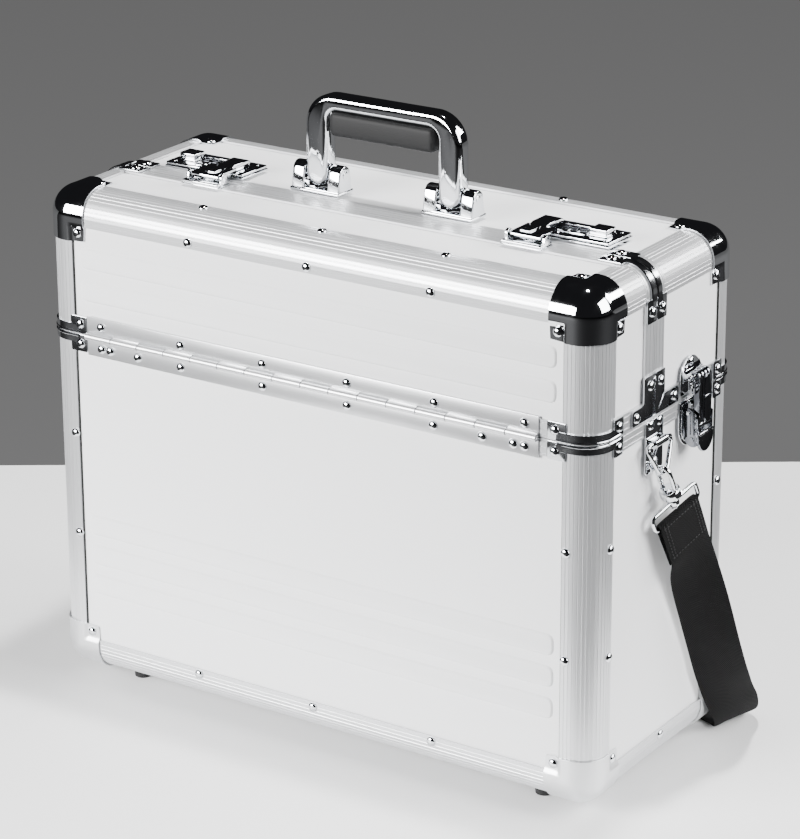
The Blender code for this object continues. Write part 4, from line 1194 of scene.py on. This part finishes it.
def wheel_windows(dials, bottom, top):
    """Cutters for the openings that the number wheels turn in."""
    return [box((p.x - 3.0 * MM, p.y - 7.4 * MM, bottom), (p.x + 3.0 * MM, p.y + 7.4 * MM, top), 0)
            for p in dials]


def lock_wheel(side, i):
    """A number wheel: a drum with knurl teeth, turning about X."""
    at = PIVOT[f"dial_right_{i}_spin"]
    low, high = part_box(f"lock_dial_right_{i}")
    bm = rod((low[0] + 0.1 * MM, at.y, at.z), (high[0] - 0.1 * MM, at.y, at.z), 5.7 * MM, 0.3 * MM, 40)
    teeth = grown(tooth_tree(), {"Teeth": 20, "Radius": 5.75 * MM, "Width": 4.9 * MM,
                                 "Centre": tuple(at), "Material": shade_darkened_dial_chrome()})
    put(bm, teeth)
    return mirrored(bm, side)


def lock_slide(side):
    """The thumb slide: a bevelled block on a thin foot."""
    low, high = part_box("lock_knob_right")
    seat = TOP + SIT + 4.5 * MM
    bm = box((low[0], low[1], seat), (high[0], high[1], high[2]), 0.9 * MM, 4)
    put(bm, box((low[0] - 0.5 * MM, low[1] - 0.3 * MM, seat),
                (high[0] + 0.5 * MM, high[1] + 0.3 * MM, seat + 0.9 * MM), 0.3 * MM))
    return mirrored(bm, side)


def hasp_base(side):
    """The base on the front wing: a thick plate, the pin's tall ear and its low one."""
    low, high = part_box("hasp_base_right")
    pin = PIVOT["hasp_right_lift"]
    seat = TOP + SIT
    bm = step_plate(low, high, 0, seat, seat + 0.9 * MM, 0.25 * MM)
    put(bm, step_plate(low, high, 0.4 * MM, seat + 1.1 * MM, seat + 3.2 * MM, 0.6 * MM, 3))
    put(bm, step_plate(low, high, 1 * MM, seat + 0.5 * MM, seat + 1.5 * MM, 0))
    for x, radius in (((low[0] + 0.2 * MM, low[0] + 2.8 * MM), 3.4 * MM),
                      ((high[0] - 2.8 * MM, high[0] - 0.2 * MM), 2.6 * MM)):
        shape = [(pin.y - 3.6 * MM, seat + 2 * MM), (pin.y + 4.4 * MM, seat + 2 * MM)]
        shape += arc((pin.y, pin.z), radius, 10, 170, 10)
        put(bm, slab(shape, *x, "X", 0.5 * MM, 3))
    return mirrored(bm, side)


def hasp(side):
    """The hasp: a broad arm rounded over its pin, a raised pad, and the high block over the lock."""
    low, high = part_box("hasp_arm_right")
    pin = PIVOT["hasp_right_lift"]
    arm_top = pin.z + 2.4 * MM
    floor = TOP + 4.9 * MM
    arm = [(pin.y + 1.5 * MM, floor), (-7.2 * MM, floor), (-7.2 * MM, arm_top),
           (pin.y + 0.5 * MM, arm_top)]
    arm += arc((pin.y, pin.z), 2.4 * MM, 100, 250, 10)
    bm = slab(arm, low[0] + 0.4 * MM, high[0] - 0.4 * MM, "X", 0.5 * MM, 3)
    put(bm, box((low[0] + 6 * MM, pin.y + 1 * MM, arm_top - 0.3 * MM),
                (low[0] + 14.5 * MM, -12 * MM, arm_top + 1.1 * MM), 0.5 * MM, 3))
    block = [(-9.5 * MM, floor), (14 * MM, floor), (14 * MM, high[2] - 1.5 * MM),
             (11 * MM, high[2]), (-6 * MM, high[2]), (-9.5 * MM, high[2] - 1.2 * MM)]
    put(bm, slab(block, low[0] + 3.1 * MM, low[0] + 17.1 * MM, "X", 0.8 * MM, 3))
    return mirrored(bm, side)


# ---------------------------------------------------------------- draw latches

def latch_base(side):
    """Long base plate with a round foot, two rails and the lever's pin."""
    _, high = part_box("latch_base_right")
    pin = PIVOT["latch_lever_right_lift"]
    face = HALF_L + SIT
    r = 15 * MM
    y = pin.y
    outline = [(y + r, high[2]), (y - r, high[2])] + arc((y, BASE + 250 * MM), r, 180, 360, 20)
    bm = slab(outline, face, face + PLATE_T, "X", 0.5 * MM, 3)
    inner = [(y + r - 2.5 * MM, high[2] - 2 * MM), (y - r + 2.5 * MM, high[2] - 2 * MM)]
    inner += arc((y, BASE + 250 * MM), r - 2.5 * MM, 180, 360, 20)
    put(bm, slab(inner, face + 1 * MM, face + 1.9 * MM, "X", 0.4 * MM, 2))
    for way in (-1, 1):
        rail = span(y + way * 7.0 * MM, y + way * 8.4 * MM)
        put(bm, box((face + 1 * MM, rail[0], BASE + 254 * MM),
                    (HALF_L + 8.3 * MM, rail[1], high[2] - 1 * MM), 0.5 * MM))
    put(bm, rod((pin.x, y - 10.8 * MM, pin.z), (pin.x, y + 10.8 * MM, pin.z), 1.5 * MM, 0.3 * MM, 20))
    return mirrored(bm, side)


def latch_lever(side):
    """The lever: full-depth cheeks with upright ribs, and a tongue with a bead across its root."""
    pin, claw = PIVOT["latch_lever_right_lift"], PIVOT["latch_claw_right_swing"]
    y = pin.y
    bm = bmesh.new()
    outer = HALF_L + 15.2 * MM
    shape = arc((pin.x, pin.z), 3.4 * MM, 75, 185, 8)
    shape += arc((HALF_L + 9.2 * MM, BASE + 243.5 * MM), 6.2 * MM, 185, 290, 10)
    shape += [(outer - 0.6 * MM, BASE + 240 * MM), (outer - 0.6 * MM, BASE + 261 * MM)]
    for way in (-1, 1):
        ends = span(y + way * 8.9 * MM, y + way * 9.9 * MM)
        put(bm, slab(shape, *ends, "Y", 0.25 * MM, 2))
        edge = y + way * 9.85 * MM
        for out, low, high in ((4.6, 244.0, 263.5), (7.6, 246.5, 263.0), (10.6, 246.5, 261.5)):
            x = HALF_L + out * MM
            put(bm, wire([(x, edge, BASE + low * MM), (x, edge, BASE + high * MM)], 0.45 * MM, sides=10))
        x, z = HALF_L + 8.6 * MM, BASE + 242.6 * MM
        put(bm, rod((x, edge - way * MM, z), (x, edge + way * 0.5 * MM, z), 2.1 * MM, 0.3 * MM, 24))
    r = 10.3 * MM
    tip = [(y + r, BASE + 248.0 * MM), (y - r, BASE + 248.0 * MM)]
    tip += arc((y, BASE + 243 * MM), r, 180, 360, 20)
    put(bm, slab(tip, HALF_L + 12.6 * MM, outer, "X", 1.0 * MM, 4))
    put(bm, rod((HALF_L + 14.4 * MM, y - 9.6 * MM, BASE + 247.4 * MM),
                (HALF_L + 14.4 * MM, y + 9.6 * MM, BASE + 247.4 * MM), 1.3 * MM, 0.5 * MM, 20))
    put(bm, rod((claw.x, y - 10 * MM, claw.z), (claw.x, y + 10 * MM, claw.z), 1.2 * MM, 0, 20))
    return mirrored(bm, side)


def latch_claw(side):
    """The claw: deep ribs bent over the strike's roll, with a smooth face and a bead across it."""
    claw = PIVOT["latch_claw_right_swing"]
    low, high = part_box("latch_claw_right")
    y = claw.y
    bm = rod((claw.x, low[1], claw.z), (claw.x, high[1], claw.z), 2.6 * MM, 0.3 * MM)
    top = high[2]
    outer = HALF_L + 13.6 * MM
    shape = [(HALF_L + 8.7 * MM, claw.z), (outer, claw.z)]
    shape += arc((outer - 5.2 * MM, top - 5.2 * MM), 5.2 * MM, 0, 115, 14)
    shape += [(HALF_L + 5.7 * MM, top - 1.0 * MM), (HALF_L + 5.7 * MM, top - 1.7 * MM)]
    shape += arc((outer - 4.4 * MM, top - 4.7 * MM), 3.0 * MM, 100, -80, 12)
    shape += [(HALF_L + 8.7 * MM, top - 8.2 * MM)]
    for i in range(4):
        middle = y + (i - 1.5) * 4.4 * MM
        put(bm, slab(shape, middle - 1.55 * MM, middle + 1.55 * MM, "Y", 0.5 * MM, 3))
    core = [(a + (0.7 * MM if a < outer - 2 * MM else -0.7 * MM), b) for a, b in shape[:2]]
    core += [(outer - 0.7 * MM, top - 8 * MM), (HALF_L + 9.4 * MM, top - 8.6 * MM)]
    put(bm, slab(core, y - 7.6 * MM, y + 7.6 * MM, "Y", 0.2 * MM, 2))
    # Smooth face plate on the right of the ribs
    plate = rounded([(y - 1.0 * MM, BASE + 254.5 * MM), (y + 8.3 * MM, BASE + 254.5 * MM),
                     (y + 8.3 * MM, top - 3.4 * MM), (y - 1.0 * MM, top - 3.4 * MM)], 4 * MM, 8)
    put(bm, slab(plate, outer - 1 * MM, outer + 0.5 * MM, "X", 0.4 * MM, 3))
    put(bm, rod((outer + 0.1 * MM, y - 1.4 * MM, BASE + 273.5 * MM),
                (outer + 0.1 * MM, y + 8.4 * MM, BASE + 273.5 * MM), 0.9 * MM, 0.3 * MM, 16))
    return mirrored(bm, side)


def latch_strike(side):
    """The strike on the wing: round-headed plate with a broad hood and the roll that the claw holds."""
    low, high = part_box("latch_strike_right")
    y = (low[1] + high[1]) / 2
    r = (high[1] - low[1]) / 2
    face = HALF_L + SIT
    outline = [(y - r, low[2]), (y + r, low[2])] + arc((y, high[2] - r), r, 0, 180, 24)
    bm = slab(outline, face, face + PLATE_T, "X", 0.5 * MM, 3)
    shelf = BASE + 286.6 * MM
    hood = [(face + 0.8 * MM, shelf - 3.4 * MM), (HALF_L + 3.2 * MM, shelf - 0.4 * MM),
            (HALF_L + 6 * MM, shelf + 0.4 * MM)]
    hood += arc((HALF_L + 6.9 * MM, shelf + 2.0 * MM), 2.0 * MM, -110, 90, 10)
    hood += [(HALF_L + 5 * MM, shelf + 4.1 * MM), (HALF_L + 2.6 * MM, shelf + 5.6 * MM),
             (face + 0.8 * MM, shelf + 9.0 * MM)]
    put(bm, slab(hood, y - 12.6 * MM, y + 12.6 * MM, "Y", 0.3 * MM, 2))
    for way in (-1, 1):
        cheek = span(y + way * 7.4 * MM, y + way * 8.6 * MM)
        put(bm, box((face + 1 * MM, cheek[0], low[2] + 1 * MM),
                    (HALF_L + 8.1 * MM, cheek[1], shelf + 1 * MM), 0.4 * MM))
    return mirrored(bm, side)


# ---------------------------------------------------------------- strap fittings

def strap_anchor(side):
    """The anchor plate with its rolled barrel."""
    low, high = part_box("strap_anchor_right")
    ring = PIVOT["strap_ring_right_swing"]
    face = HALF_L + SIT
    y = (low[1] + 4 * MM, high[1] - 4 * MM)
    outline = rounded([(low[1], high[2]), (low[1], low[2]), (high[1], low[2]), (high[1], high[2])],
                      3 * MM, 6)
    bm = slab(outline, face, face + PLATE_T, "X", 0.5 * MM, 3)
    put(bm, sweep(circle(3.2 * MM, 28), [((ring.x, at, ring.z), (1, 0, 0), (0, 0, 1)) for at in y]))
    put(bm, box((face + 0.5 * MM, y[0], ring.z - 1.0 * MM),
                (ring.x - 0.5 * MM, y[1], ring.z + 2.2 * MM), 0.4 * MM))
    return mirrored(bm, side)


# The ring's lowest point, and how the hook hangs from it
APEX = Vector((HALF_L + 9 * MM, -20 * MM, BASE + 232 * MM))
HOOK_AXIS = Vector((0.08, 0.40, -0.91)).normalized()
LOOP_ACROSS = Vector((0.27, 0.86, 0.43))


def strap_ring(side):
    """The triangular ring: its straight side runs through the anchor's barrel."""
    top = PIVOT["strap_ring_right_swing"]
    drop = top.z - APEX.z
    flat = [(-12.5, 0), (12.5, 0), (15.0, -2.0), (14.6, -5.2), (7.5, -drop / MM + 4.6),
            (4.4, -drop / MM + 1.0), (0, -drop / MM), (-4.4, -drop / MM + 1.0),
            (-7.5, -drop / MM + 4.6), (-14.6, -5.2), (-15.0, -2.0)]
    lean = (APEX.x - top.x) / drop
    points = [(top.x - lean * z * MM, top.y + y * MM, top.z + z * MM) for y, z in flat]
    return mirrored(wire(through(points, 6, True), 1.6 * MM, True), side)


def hook_place():
    """Sets a hook modelled upright under its arch onto the ring's lowest point."""
    up = -HOOK_AXIS
    across = (LOOP_ACROSS - LOOP_ACROSS.dot(up) * up).normalized()
    turn = Matrix((across.cross(up), across, up)).transposed().to_4x4()
    return Matrix.Translation(APEX) @ turn


def on_ring(bm, side):
    """Hangs a part that is modelled at the origin on its ring."""
    bmesh.ops.transform(bm, matrix=hook_place(), verts=bm.verts)
    return mirrored(bm, side)


# The hook's arch, its turn from the loop's plane, and the line that the gate slides on
ARCH = 5.2 * MM
ARCH_TURN = radians(12)
GATE = Vector((-ARCH * cos(ARCH_TURN), -ARCH * sin(ARCH_TURN), 0))


def snap_hook(side):
    """The hook: arch and leg of round wire, a turned guide for the gate, and the swivel stem."""
    c, s = cos(ARCH_TURN), sin(ARCH_TURN)
    low = -1 * MM
    points = [(-ARCH * c, -ARCH * s, low - 2 * MM)]
    points += [(a * c, a * s, low + b) for a, b in arc((0, 0), ARCH, 180, 0, 18)]
    points += [(ARCH * c, ARCH * s, low - 8 * MM), (ARCH * c * 0.92, ARCH * s * 0.92, low - 17 * MM)]
    bm = wire(points, 1.65 * MM)
    guide = rod((0, 0, -15.6 * MM), (0, 0, -22.2 * MM), 7.6 * MM, 1.3 * MM, 40)
    bore = rod(GATE + Vector((0, 0, -14 * MM)), GATE + Vector((0, 0, -24.6 * MM)), 1.9 * MM, sides=24)
    put(bm, cut_with(guide, [bore]))
    put(bm, rod((0, 0, -22 * MM), (0, 0, -24 * MM), 3.2 * MM, 0.6 * MM, 32))
    put(bm, rod((0, 0, -21 * MM), (0, 0, -30.5 * MM), 2.0 * MM, 0, 24))
    put(bm, rod((0, 0, -30 * MM), (0, 0, -31.7 * MM), 3.4 * MM, 0.6 * MM, 24))
    return on_ring(bm, side)


def hook_gate(side):
    """The sliding bolt with its thumb collar."""
    down = Vector((0, 0, -1))
    bm = rod(GATE + down * 3.6 * MM, GATE + down * 17.5 * MM, 1.5 * MM, 0.4 * MM, 24)
    put(bm, rod(GATE + down * 8 * MM, GATE + down * 10.5 * MM, 2.0 * MM, 0.4 * MM, 24))
    return on_ring(bm, side)


LOOP_DROP = 39 * MM     # from the top of the hook's arch to the loop's lower bar


def strap_loop(side):
    """The rectangular wire loop that the webbing is sewn round, on its swivel collar."""
    high, low, half, r = -27 * MM, -LOOP_DROP, 22 * MM, 3.2 * MM
    outline = arc((half - r, high - r), r, 90, 0, 6) + arc((half - r, low + r), r, 0, -90, 6)
    outline += arc((r - half, low + r), r, -90, -180, 6) + arc((r - half, high - r), r, 180, 90, 6)
    bm = wire([(0, a, b) for a, b in outline], 1.7 * MM, True)
    put(bm, rod((0, 0, -24.2 * MM), (0, 0, -29.4 * MM), 4.3 * MM, 0.9 * MM, 32))
    return on_ring(bm, side)


# ---------------------------------------------------------------- shoulder strap

# Middle line of the right half behind the sewn end, with the direction across the webbing
ROUTE = [
    ((250.5, 17.0, 155.0), (0.55, 0.76, 0.30)),
    ((252.5, 29.0, 124.0), (0.76, 0.62, 0.12)),
    ((253.5, 41.5, 94.0), (0.80, 0.56, -0.03)),
    ((252.5, 57.5, 64.0), (0.66, 0.72, -0.12)),
    ((250.0, 76.0, 38.0), (0.42, 0.88, -0.16)),
    ((248.0, 92.0, 19.0), (0.32, 0.93, -0.08)),
    ((242.0, 103.0, 6.5), (0.27, 0.96, 0.0)),
    ((231.0, 109.5, 2.2), (0.20, 0.98, 0.0)),
    ((215.0, 114.0, 1.6), (0.12, 0.99, 0.0)),
    ((170.0, 121.0, 1.6), (0.06, 1.0, 0.0)),
    ((90.0, 127.0, 1.6), (0.03, 1.0, 0.0)),
    ((0.0, 129.0, 1.6), (0.0, 1.0, 0.0)),
]
SEWN = 34 * MM          # the end that is folded round the bar and sewn back
STRAP_T = 1.8 * MM
COURSE_STEPS = 4        # stations between two points of the course


def strap_course():
    """The right half's middle line from the folded end: round the loop's bar, then down the case."""
    bar = APEX + HOOK_AXIS * LOOP_DROP
    down = HOOK_AXIS
    across = (LOOP_ACROSS - LOOP_ACROSS.dot(down) * down).normalized()
    out = down.cross(across).normalized()
    if out.x < 0:
        out = -out
    hold = 2.7 * MM
    points = []
    for i in range(5):
        s = SEWN * (1 - i / 4)
        points.append((bar + down * s - out * (hold - 1.9 * MM * s / SEWN), across))
    for i in range(1, 8):
        a = pi * i / 8
        points.append((bar - out * hold * cos(a) - down * hold * sin(a), across))
    for i in range(5):
        s = SEWN * i / 4
        points.append((bar + down * s + out * (hold - 1.3 * MM * s / SEWN), across))
    return points + [(Vector(at) * MM, Vector(way)) for at, way in ROUTE]


def strap_stations():
    """The smoothed course as stations: point, direction across, direction out of the face."""
    course = strap_course()
    line = through([at for at, _ in course], COURSE_STEPS)
    ways = through([way for _, way in course], COURSE_STEPS)
    stations = []
    for i, (at, way) in enumerate(zip(line, ways)):
        along = (line[min(i + 1, len(line) - 1)] - line[max(i - 1, 0)]).normalized()
        wide = (way - way.dot(along) * along).normalized()
        stations.append((at, wide, along.cross(wide).normalized()))
    return stations


def strap_half(side):
    """Half of the webbing, from its sewn end to the middle behind the case."""
    half, t = sizes().strap_width / 2, STRAP_T / 2
    columns = 10
    top = [(-half + 2 * half * i / columns, t if 0 < i < columns else t * 0.5)
           for i in range(columns + 1)]
    bottom = [(a, -b) for a, b in reversed(top)]
    return mirrored(sweep(top + bottom, strap_stations()), side)


def strap_stitches(side):
    """A box of stitches on the outside of the sewn end."""
    # The stations where the outer layer lies on the folded end
    sewn = strap_stations()[46:62]
    half = sizes().strap_width / 2 - 3 * MM
    t = STRAP_T / 2 + 0.05 * MM
    rows = []
    for a in (-half, -half + 2.5 * MM, half - 2.5 * MM, half):
        rows.append([at + wide * a + up * t for at, wide, up in sewn])
    for at, wide, up in (sewn[2], sewn[-1]):
        rows.append([at + wide * (-half + 2 * half * i / 12) + up * t for i in range(13)])
    vertices, edges = [], []
    for row in rows:
        start = len(vertices)
        vertices += row
        edges += [(start + i, start + i + 1) for i in range(len(row) - 1)]
    mesh = bpy.data.meshes.new("seams")
    mesh.from_pydata(vertices, edges, [])
    host = bpy.data.objects.new("seams", mesh)
    bm = grown(stitch_tree(), {"Spacing": 2.8 * MM, "Length": 2.1 * MM, "Thickness": 0.4 * MM,
                               "Material": stitching_thread()}, host)
    return mirrored(bm, side)


# ---------------------------------------------------------------- stage

def area_light(name, at, target, size, power):
    """A soft rectangular light of the given power in watts, turned to its target."""
    light = bpy.data.lights.new(name, "AREA")
    light.shape = "RECTANGLE"
    light.size, light.size_y = size
    light.energy = power
    made = bpy.data.objects.new(name, light)
    bpy.context.scene.collection.objects.link(made)
    made.location = at
    made.rotation_euler = (Vector(target) - Vector(at)).to_track_quat("-Z", "Y").to_euler()


def plain_sheet(name, at, size, colour, rough, glow=0.0, shine=0.5):
    """A flat rectangle of studio floor or paper, with a little light of its own if it is far lit."""
    bm = bmesh.new()
    bmesh.ops.create_grid(bm, x_segments=1, y_segments=1, size=0.5)
    bmesh.ops.scale(bm, vec=(*size, 1), verts=bm.verts)
    bmesh.ops.translate(bm, vec=at, verts=bm.verts)
    made = as_object(bm, name)
    paint, _, shader = finish(name)
    shader.inputs["Base Color"].default_value = linear(colour)
    shader.inputs["Roughness"].default_value = rough
    shader.inputs["Specular IOR Level"].default_value = shine
    shader.inputs["Emission Color"].default_value = (1, 1, 1, 1)
    shader.inputs["Emission Strength"].default_value = glow
    made.data.materials.append(paint)
    return made


class CASE_OT_stage(bpy.types.Operator):
    """Sets up the camera, the pale floor and the soft studio lights"""
    bl_idname = "case.stage"
    bl_label = "Stage"

    def execute(self, context):
        camera = bpy.data.cameras.new("camera")
        camera.sensor_width = 36
        camera.lens = 139.2
        camera.shift_y = -0.1
        camera.clip_end = 50
        view = bpy.data.objects.new("camera", camera)
        context.scene.collection.objects.link(view)
        view.location = (1.245, -1.851, 1.064)
        view.rotation_euler = (radians(70.86), radians(0.28), radians(33.54))
        context.scene.camera = view
        # The dark floor round the sheet has little sheen, so the chrome mirrors it as near black
        ground = plain_sheet("studio_floor", (0, 0, -0.0009), (9.0, 9.0), "060607", 0.9, shine=0.12)
        behind = plain_sheet("lit_floor", (0, 2.67, -0.0006), (9.0, 4.4), "0C0C0D", 0.9, glow=0.124)
        paper = plain_sheet("white_sheet", (0, 0.07, -0.0003), (0.9, 0.83), colours().floor, 0.6)
        # The sheets lie square to the view, the white one's far edge half a metre behind the case
        turn = Matrix.Rotation(view.rotation_euler.z, 4, "Z")
        for sheet in (behind, paper):
            sheet.data.transform(turn)
        world = bpy.data.worlds.new("studio")
        world.use_nodes = True
        world.node_tree.nodes["Background"].inputs["Color"].default_value = linear("1C1C1E")
        world.node_tree.nodes["Background"].inputs["Strength"].default_value = 1.0
        context.scene.world = world
        area_light("key", (-0.95, -2.0, 0.85), (0, 0, 0.2), (1.5, 1.0), 165)
        area_light("side", (1.75, 0.35, 1.05), (0, 0, 0.2), (1.2, 1.1), 65)
        area_light("rim", (1.3, 1.5, 1.25), (0.1, 0, 0.3), (0.7, 0.7), 30)
        area_light("top", (0.15, 0.16, 2.2), (0, 0, 0.1), (0.16, 0.16), 52)
        return {"FINISHED"}


# ---------------------------------------------------------------- operators

class CASE_OT_panels(bpy.types.Operator):
    """Finishes the laminated panels and adds their pressed ribs"""
    bl_idname = "case.panels"
    bl_label = "Panels and ribs"

    def execute(self, context):
        skin = silver_laminate()
        for name in ("body_tray", "front_wing_panels", "rear_wing_panels"):
            refinish(name, skin)
        for end, word in ENDS:
            y = end * (HALF_W - PANEL_DROP)
            for body, heights in (("case", BODY_RIBS), (word + "_wing", WING_RIBS)):
                bm = bmesh.new()
                for z in heights:
                    put(bm, pressed_rib(y, end, BASE + z, 203.3 * MM))
                piece(bm, f"{word}_ribs_{body}", skin, body, angle=60)
        return {"FINISHED"}


class CASE_OT_painted_shadow_strips(bpy.types.Operator):
    """Builds the dark strips between the upright profiles and the panels: painted shadow for the gap
    under the profiles' edges
    """
    bl_idname = "case.seals"
    bl_label = "Painted shadow strips"

    def execute(self, context):
        for body in BODY_ENDS:
            # Dark rubber-coloured strips: painted shadow in the gaps beside the upright profiles
            piece(painted_shadow_strips(body), body + "_painted_shadow_strips", rubber_and_painted_shadow(), body)
        return {"FINISHED"}


class CASE_OT_profiles(bpy.types.Operator):
    """Builds the fluted edge profiles and the rims"""
    bl_idname = "case.profiles"
    bl_label = "Edge profiles"

    def execute(self, context):
        for body in BODY_ENDS:
            node_name = "body_frame" if body == "case" else body + "_frame"
            piece(profiles(body), body + "_profiles", brushed_anodised_aluminium(), body,
                  [node_name], 25)
        return {"FINISHED"}


class CASE_OT_corners(bpy.types.Operator):
    """Builds the pressed corner caps"""
    bl_idname = "case.corners"
    bl_label = "Corner caps"

    def execute(self, context):
        for side_y, end in ENDS:
            for side_x, word in SIDES:
                top, low = f"top_corner_{end}_{word}", f"bottom_corner_{end}_{word}"
                piece(corner_cap(side_x, side_y, True), top + "_cap", mirror_chrome_plate(),
                      end + "_wing", [top], 50)
                piece(corner_cap(side_x, side_y, False), low + "_cap", satin_steel(),
                      "case", [low], 50)
        return {"FINISHED"}


class CASE_OT_brackets(bpy.types.Operator):
    """Builds the belt corner brackets and the plates along the seam"""
    bl_idname = "case.brackets"
    bl_label = "Brackets"

    def execute(self, context):
        nickel = nickel_plated_strip()
        made = {body: bmesh.new() for body in BODY_ENDS}
        for end, word in ENDS:
            for side, _ in SIDES:
                put(made["case"], belt_bracket(side, end, -1))
                put(made[word + "_wing"], belt_bracket(side, end, 1))
                put(made[word + "_wing"], seam_plates(end, side))
        for body, bm in made.items():
            piece(bm, body + "_brackets", nickel, body)
        return {"FINISHED"}


class CASE_OT_rivets(bpy.types.Operator):
    """Sets all the domed rivets"""
    bl_idname = "case.rivets"
    bl_label = "Rivets"

    def execute(self, context):
        for body in BODY_ENDS:
            piece(rivets(body), body + "_rivets", mirror_chrome_plate(), body,
                  angle=80)
        return {"FINISHED"}


class CASE_OT_hinges(bpy.types.Operator):
    """Builds the leaves and knuckles of the two full-length hinges"""
    bl_idname = "case.hinges"
    bl_label = "Hinges"

    def execute(self, context):
        for end, word in ENDS:
            for on_body in (True, False):
                name = f"{word}_hinge_{'body' if on_body else 'wing'}_leaf"
                piece(hinge_leaf(end, on_body), name + "_rolled", satin_nickel_plate(),
                      "case" if on_body else word + "_wing", [name])
        return {"FINISHED"}


class CASE_OT_handle(bpy.types.Operator):
    """Builds the carry handle with its grip and bases"""
    bl_idname = "case.handle"
    bl_label = "Handle"

    def execute(self, context):
        chrome = mirror_chrome_plate()
        piece(handle_bow(), "handle_bow_polished", chrome, "handle", ["handle_bow"])
        piece(handle_grip(), "handle_grip_moulded", soft_touch_grip(), "handle", ["handle_grip"],
              60)
        for side, word in SIDES:
            piece(handle_base(side), f"handle_base_{word}_cast", chrome, "rear_wing",
                  ["handle_base_" + word])
        return {"FINISHED"}


class CASE_OT_locks(bpy.types.Operator):
    """Builds the combination locks and their hasps"""
    bl_idname = "case.locks"
    bl_label = "Locks"

    def execute(self, context):
        chrome = mirror_chrome_plate()
        for side, word in SIDES:
            piece(lock_plate(side), f"lock_plate_{word}", chrome, "rear_wing", ["lock_body_" + word])
            piece(lock_slide(side), f"lock_slide_{word}_block", chrome, "lock_slide_" + word,
                  ["lock_knob_" + word])
            for i in (1, 2, 3):
                piece(lock_wheel(side, i), f"number_wheel_{word}_{i}", shade_darkened_dial_chrome(),
                      f"dial_{word}_{i}", [f"lock_dial_{word}_{i}"])
            piece(hasp_base(side), f"hasp_base_{word}_cast", chrome, "front_wing", ["hasp_base_" + word])
            piece(hasp(side), f"hasp_{word}_cast", chrome, "hasp_" + word, ["hasp_arm_" + word])
        return {"FINISHED"}


class CASE_OT_latches(bpy.types.Operator):
    """Builds the draw latches on the short sides"""
    bl_idname = "case.latches"
    bl_label = "Draw latches"

    def execute(self, context):
        chrome, dark = mirror_chrome_plate(), dark_nickel_plate()
        for side, word in SIDES:
            piece(latch_base(side), f"latch_base_{word}_pressed", chrome, "case", ["latch_base_" + word])
            piece(latch_lever(side), f"latch_lever_{word}_pressed", dark, "latch_lever_" + word,
                  ["latch_lever_" + word])
            piece(latch_claw(side), f"latch_claw_{word}_ribbed", dark, "latch_claw_" + word,
                  ["latch_claw_" + word])
            piece(latch_strike(side), f"latch_strike_{word}_pressed", chrome, "rear_wing",
                  ["latch_strike_" + word])
        return {"FINISHED"}


class CASE_OT_fittings(bpy.types.Operator):
    """Builds the strap's anchors, rings, hooks and loops"""
    bl_idname = "case.fittings"
    bl_label = "Strap fittings"

    def execute(self, context):
        chrome = mirror_chrome_plate()
        for side, word in SIDES:
            piece(strap_anchor(side), f"strap_anchor_{word}_pressed", chrome, "case",
                  ["strap_anchor_" + word])
            piece(strap_ring(side), f"strap_ring_{word}_wire", chrome, "strap_ring_" + word,
                  ["strap_ring_" + word])
            piece(snap_hook(side), f"snap_hook_{word}_cast", chrome, "snap_hook_" + word,
                  ["snap_hook_" + word])
            piece(hook_gate(side), f"hook_gate_{word}_turned", chrome, "hook_gate_" + word,
                  ["hook_gate_" + word])
            piece(strap_loop(side), f"strap_loop_{word}_wire", chrome, "strap_ring_" + word,
                  ["strap_loop_" + word])
        return {"FINISHED"}


class CASE_OT_strap(bpy.types.Operator):
    """Builds the shoulder strap in two halves that meet under the slider"""
    bl_idname = "case.strap"
    bl_label = "Shoulder strap"

    def execute(self, context):
        refinish("strap_slider", mirror_chrome_plate())
        for side, word in SIDES:
            web = piece(strap_half(side), f"strap_webbing_{word}", nylon_webbing(), None,
                        ["shoulder_strap"], 50)
            seam = piece(strap_stitches(side), f"strap_stitches_{word}", stitching_thread(),
                         None, angle=80)
            for soft in (web, seam):
                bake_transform(soft)
        return {"FINISHED"}


class CASE_OT_feet(bpy.types.Operator):
    """Finishes the rubber feet"""
    bl_idname = "case.feet"
    bl_label = "Feet"

    def execute(self, context):
        for _, end in ENDS:
            for _, word in SIDES:
                refinish(f"foot_{end}_{word}", rubber_and_painted_shadow())
        return {"FINISHED"}


STEPS = (CASE_OT_stage, CASE_OT_panels, CASE_OT_painted_shadow_strips, CASE_OT_profiles, CASE_OT_corners,
         CASE_OT_brackets, CASE_OT_rivets, CASE_OT_hinges, CASE_OT_handle, CASE_OT_locks,
         CASE_OT_latches, CASE_OT_fittings, CASE_OT_strap, CASE_OT_feet)


class CASE_PT_panel(bpy.types.Panel):
    """Sizes, colours and the steps that build the case"""
    bl_idname = "CASE_PT_panel"
    bl_label = "Pilot Case"
    bl_space_type = "VIEW_3D"
    bl_region_type = "UI"
    bl_category = "Pilot Case"

    def draw(self, context):
        for settings in (context.scene.case_sizes, context.scene.case_colours):
            column = self.layout.column(align=True)
            for name in settings.__annotations__:
                column.prop(settings, name)
        for step in STEPS:
            self.layout.operator(step.bl_idname)


CLASSES = (CaseColours, CaseSizes) + STEPS + (CASE_PT_panel,)


def register():
    for kind in CLASSES:
        bpy.utils.register_class(kind)
    bpy.types.Scene.case_colours = bpy.props.PointerProperty(type=CaseColours)
    bpy.types.Scene.case_sizes = bpy.props.PointerProperty(type=CaseSizes)


def unregister():
    del bpy.types.Scene.case_sizes
    del bpy.types.Scene.case_colours
    for kind in reversed(CLASSES):
        bpy.utils.unregister_class(kind)


def main():
    register()
    for step in STEPS:
        group, action = step.bl_idname.split(".")
        getattr(getattr(bpy.ops, group), action)()


if __name__ == "__main__":
    main()
